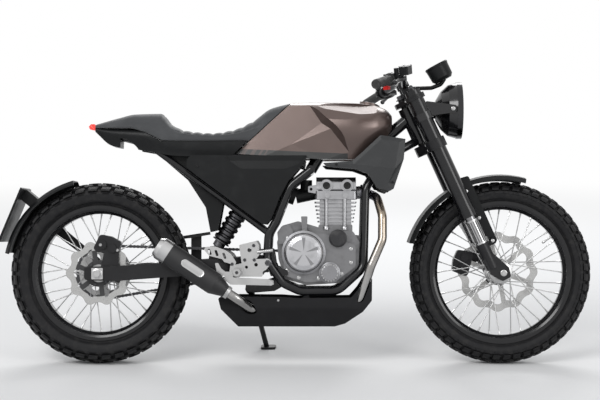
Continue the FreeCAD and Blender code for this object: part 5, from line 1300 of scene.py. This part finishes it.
def makeBarTrim(bar):
    left, lid = Shape().hexBolt(onPerch(*bar["pivot"]), barRise, bar["pivotSize"]), Shape()
    for place in bar["perchScrews"]:
        left.capScrew(onPerch(*place), barRise, bar["screwSize"])
    for place in bar["lidScrews"]:
        lid.capScrew(onPerch(*place), barRise, bar["lidScrewSize"])
    screws = Shape().joined(left).joined(left.mirrored()).joined(lid.mirrored())
    clamps = Shape()
    for y in bar["clampY"]:
        for ahead, up in bar["clampScrews"]:
            screws.capScrew(onFork(ahead, up, y), forkUp, bar["screwSize"])
        clamps.rings([[onFork(ahead, up, y + side) for ahead, up in bar["clamp"]]
                      for side in (-bar["clampHalf"], bar["clampHalf"])])
    screws.built("bar_screws", "steel", "steering")
    clamps.built("bar_clamps", "chassis_black", "steering", bevel=1.0, flat=True)
    switches = Shape()
    for runs in bar["leftSwitches"]:
        switches.joined(perchBlock(*runs))
    switches.joined(perchBlock(*bar["rightSwitch"]).mirrored())
    switches.built("switch_buttons", "grey_plastic", "steering")
    perchBlock(*bar["stopSwitch"], 2.0).mirrored().built("stop_switch", "lamp_red", "steering", redPlastic)


makeBarTrim(handlebar)
print("stage: bar trim")

# Gauge: dial, ticks and needle

gaugeForm = {
    "centre": Vector((1158.0, 0.0, 988.0)),
    "tilt": Vector((-0.47, 0.0, 0.88)).normalized(),
    "dial": ((30.1, 0.01), (30.1, 35.5), (30.5, 35.5), (30.5, 12.0), (30.9, 11.0), (30.9, 0.01)),
    "hub": ((30.9, 4.5), (32.0, 4.5), (32.2, 3.8), (32.2, 0.01)),
    "ticks": 25,
    "tickLevel": (30.7, 0.25),  # rise and thickness
    "tickEnd": 32.5,
    "longTick": (25.0, 0.022),  # where it starts, and half its turn
    "shortTick": (29.0, 0.012),
    "sweep": (215.0, -35.0),
    "reading": 0.0,
    "needle": ((2.6, 7), (-2.6, 7), (-0.03, 27), (0.03, 27)),  # turn and reach
    "needleLevels": (31.2, 31.8),
}


def makeGauge(form):
    axis = form["tilt"]
    right = Vector((0, -1, 0))
    up = right.cross(axis)
    up *= math.copysign(1, up.x)

    def at(turn, reach, rise):
        return form["centre"] + axis * rise + around(right, up, turn) * reach

    def turnOf(share):
        low, high = form["sweep"]
        return math.radians(low + (high - low) * share)

    Shape().lathe(form["dial"], form["centre"], axis, 48).built("gauge_dial", "black_plastic", "steering")
    marks = Shape()
    level, thick = form["tickLevel"]
    for i in range(form["ticks"]):
        turn = turnOf(i / (form["ticks"] - 1))
        inner, wide = form["shortTick"] if i % 4 else form["longTick"]
        sides = ((-1, inner), (1, inner), (0.8, form["tickEnd"]), (-0.8, form["tickEnd"]))
        corners = [at(turn + wide * share, reach, level) for share, reach in sides]
        marks.rings([corners, [p + axis * thick for p in corners]])
    marks.built("gauge_ticks", "grey_plastic", "steering", dialWhite, flat=True)
    zero = turnOf(form["reading"])
    needle = Shape().rings([[at(zero + turn, reach, level) for turn, reach in form["needle"]]
                            for level in form["needleLevels"]])
    needle.lathe(form["hub"], form["centre"], axis, 20)
    needle.built("gauge_needle", "lamp_red", "steering", redPlastic)


makeGauge(gaugeForm)
print("stage: gauge")

# Fuel filler and a blank number plate

filler = {
    "place": Vector((918.0, 0.0, 886.0)),
    "axis": Vector((0.22, 0.0, 0.975)),
    "trim": ((-0.3, 21.0), (0.6, 21.0), (1.2, 20.0), (1.2, 8.5), (0.2, 8.0), (0.2, 0.01)),
    "lock": ((0.2, 6.0), (1.0, 6.0), (1.4, 5.2), (1.4, 0.01)),
    "screws": 6,
    "screw": (-3.2, 31.3, 2.4),  # rise, reach and size
}


def makeFiller(form):
    axis, first, second = squareTo(form["axis"])
    shape = Shape().lathe(form["trim"], form["place"], axis, 48)
    rise, reach, size = form["screw"]
    for i in range(form["screws"]):
        out = around(first, second, 2 * math.pi * (i + 0.5) / form["screws"])
        shape.capScrew(form["place"] + axis * rise + out * reach, axis, size)
    shape.built("filler_trim", "bare_aluminium", finish=darkAlloy)
    Shape().lathe(form["lock"], form["place"], axis, 24).built("filler_lock", "steel")


numberPlate = {
    "top": Vector((-262.0, 0.0, 594.0)),  # the holder's rear face
    "low": Vector((-337.0, 0.0, 413.0)),
    "short": 6.0,  # of the holder's ends
    "half": 90.0,
    "levels": ((0.6, 0.0), (1.8, 0.0), (2.2, 1.2)),  # rise and inset
    "screws": (14.0, 60.0, 2.2, 3.6),  # down, aside, rise and size
}


def makeNumberPlate(form):
    run = (form["low"] - form["top"]).normalized()
    back = Vector((run.z, 0, -run.x))
    top, low = form["top"] + run * form["short"], form["low"] - run * form["short"]
    rings = []
    for rise, inset in form["levels"]:
        half = form["half"] - inset
        high, foot = top + run * inset, low - run * inset
        rings.append([end + Vector((0, y, 0)) + back * rise
                      for end, y in ((high, -half), (high, half), (foot, half), (foot, -half))])
    Shape().rings(rings).built("blank_plate", "grey_plastic", finish=dialWhite, flat=True)
    down, aside, rise, size = form["screws"]
    screws = Shape()
    for side in (-1, 1):
        screws.capScrew(top + run * down + Vector((0, side * aside, 0)) + back * rise, back, size)
    screws.built("plate_screws", "steel")


makeFiller(filler)
makeNumberPlate(numberPlate)
print("stage: trim")

# Studio

studio = {
    "focal": 1600.0,  # in the photograph's pixels
    "frame": (600.0, 400.0),
    "sensor": 36.0,
    "eye": (688.7, -5470.0, 452.0),
    "eyePixel": (303.0, 230.0),
    "floorHalf": 20.0,
    "floorTone": 0.8,
    "fade": (2.2, 6.0),  # where the floor starts and ends going over into the white backdrop
    "sky": (0.9, 0.92, 0.95),
    "ambient": 0.5,
    "lamps": (("key", (-2.5, -4.0, 4.0), (0, 0, 0.5), (3.0, 2.0), 170),  # place, aim, size and power
              ("fill", (3.5, -3.5, 2.0), (0, 0, 0.5), (2.0, 2.5), 70),
              ("rim", (0.5, 4.0, 3.5), (0, 0, 0.6), (4.0, 1.5), 130)),
}


def held(name, data):
    holder = bpy.data.objects.new(name, data)
    bpy.context.scene.collection.objects.link(holder)
    return holder


def makeCamera(studio):
    # square to the leaning machine's own plane, as the photograph shows it
    camera = bpy.data.cameras.new("camera")
    camera.sensor_width = studio["sensor"]
    camera.lens = studio["focal"] / studio["frame"][0] * camera.sensor_width
    camera.clip_end = 200
    turn, pitch = [math.atan((pixel - size / 2) / studio["focal"])
                   for pixel, size in zip(studio["eyePixel"], studio["frame"])]
    holder = held("camera", camera)
    holder.matrix_world = (Matrix.Translation(upright @ Vector(studio["eye"])) @ lean
                           @ Matrix.Rotation(turn, 4, "Z") @ Matrix.Rotation(math.pi / 2 + pitch, 4, "X"))
    bpy.context.scene.camera = holder


def makeLamp(name, place, aim, size, power):
    lamp = bpy.data.lights.new(name, "AREA")
    lamp.shape = "RECTANGLE"
    lamp.size, lamp.size_y = size
    lamp.energy = power
    holder = held(name, lamp)
    holder.location = place
    holder.rotation_euler = (Vector(aim) - Vector(place)).to_track_quat("-Z", "Y").to_euler()


def makeFloor(studio):
    # pale floor that goes over into the white backdrop far from the machine, for the eye and in reflections
    f = Finish("studio_floor")
    shaded = f.node("ShaderNodeBsdfDiffuse", {}, {"Color": (studio["floorTone"],) * 3 + (1,)})
    white = f.node("ShaderNodeEmission", {}, {"Color": (1, 1, 1, 1), "Strength": 1.0})
    away = f.node("ShaderNodeVectorMath", {"operation": "LENGTH"}, {0: f.where()}, out="Value")
    far = away.smooth(*studio["fade"]) * f.seen()
    mesh = bpy.data.meshes.new("studio_floor")
    half = studio["floorHalf"]
    corners = [(x * half, y * half, 0) for x, y in ((-1, -1), (1, -1), (1, 1), (-1, 1))]
    mesh.from_pydata(corners, [], [(0, 1, 2, 3)])
    mesh.materials.append(f.shown(f.node("ShaderNodeMixShader", {}, {0: far, 1: shaded, 2: white})))
    floor = held("studio_floor", mesh)


def makeWorld(studio):
    f = Finish("studio", bpy.data.worlds, "ShaderNodeOutputWorld")
    soft = f.node("ShaderNodeBackground", {}, {"Color": (*studio["sky"], 1), "Strength": studio["ambient"]})
    white = f.node("ShaderNodeBackground", {}, {"Color": (1, 1, 1, 1)})
    bpy.context.scene.world = f.shown(f.node("ShaderNodeMixShader", {}, {0: f.seen(), 1: soft, 2: white}))


makeCamera(studio)
makeFloor(studio)
makeWorld(studio)
for lamp in studio["lamps"]:
    makeLamp(*lamp)
bpy.context.scene.view_settings.view_transform = "Standard"
print("stage: studio")
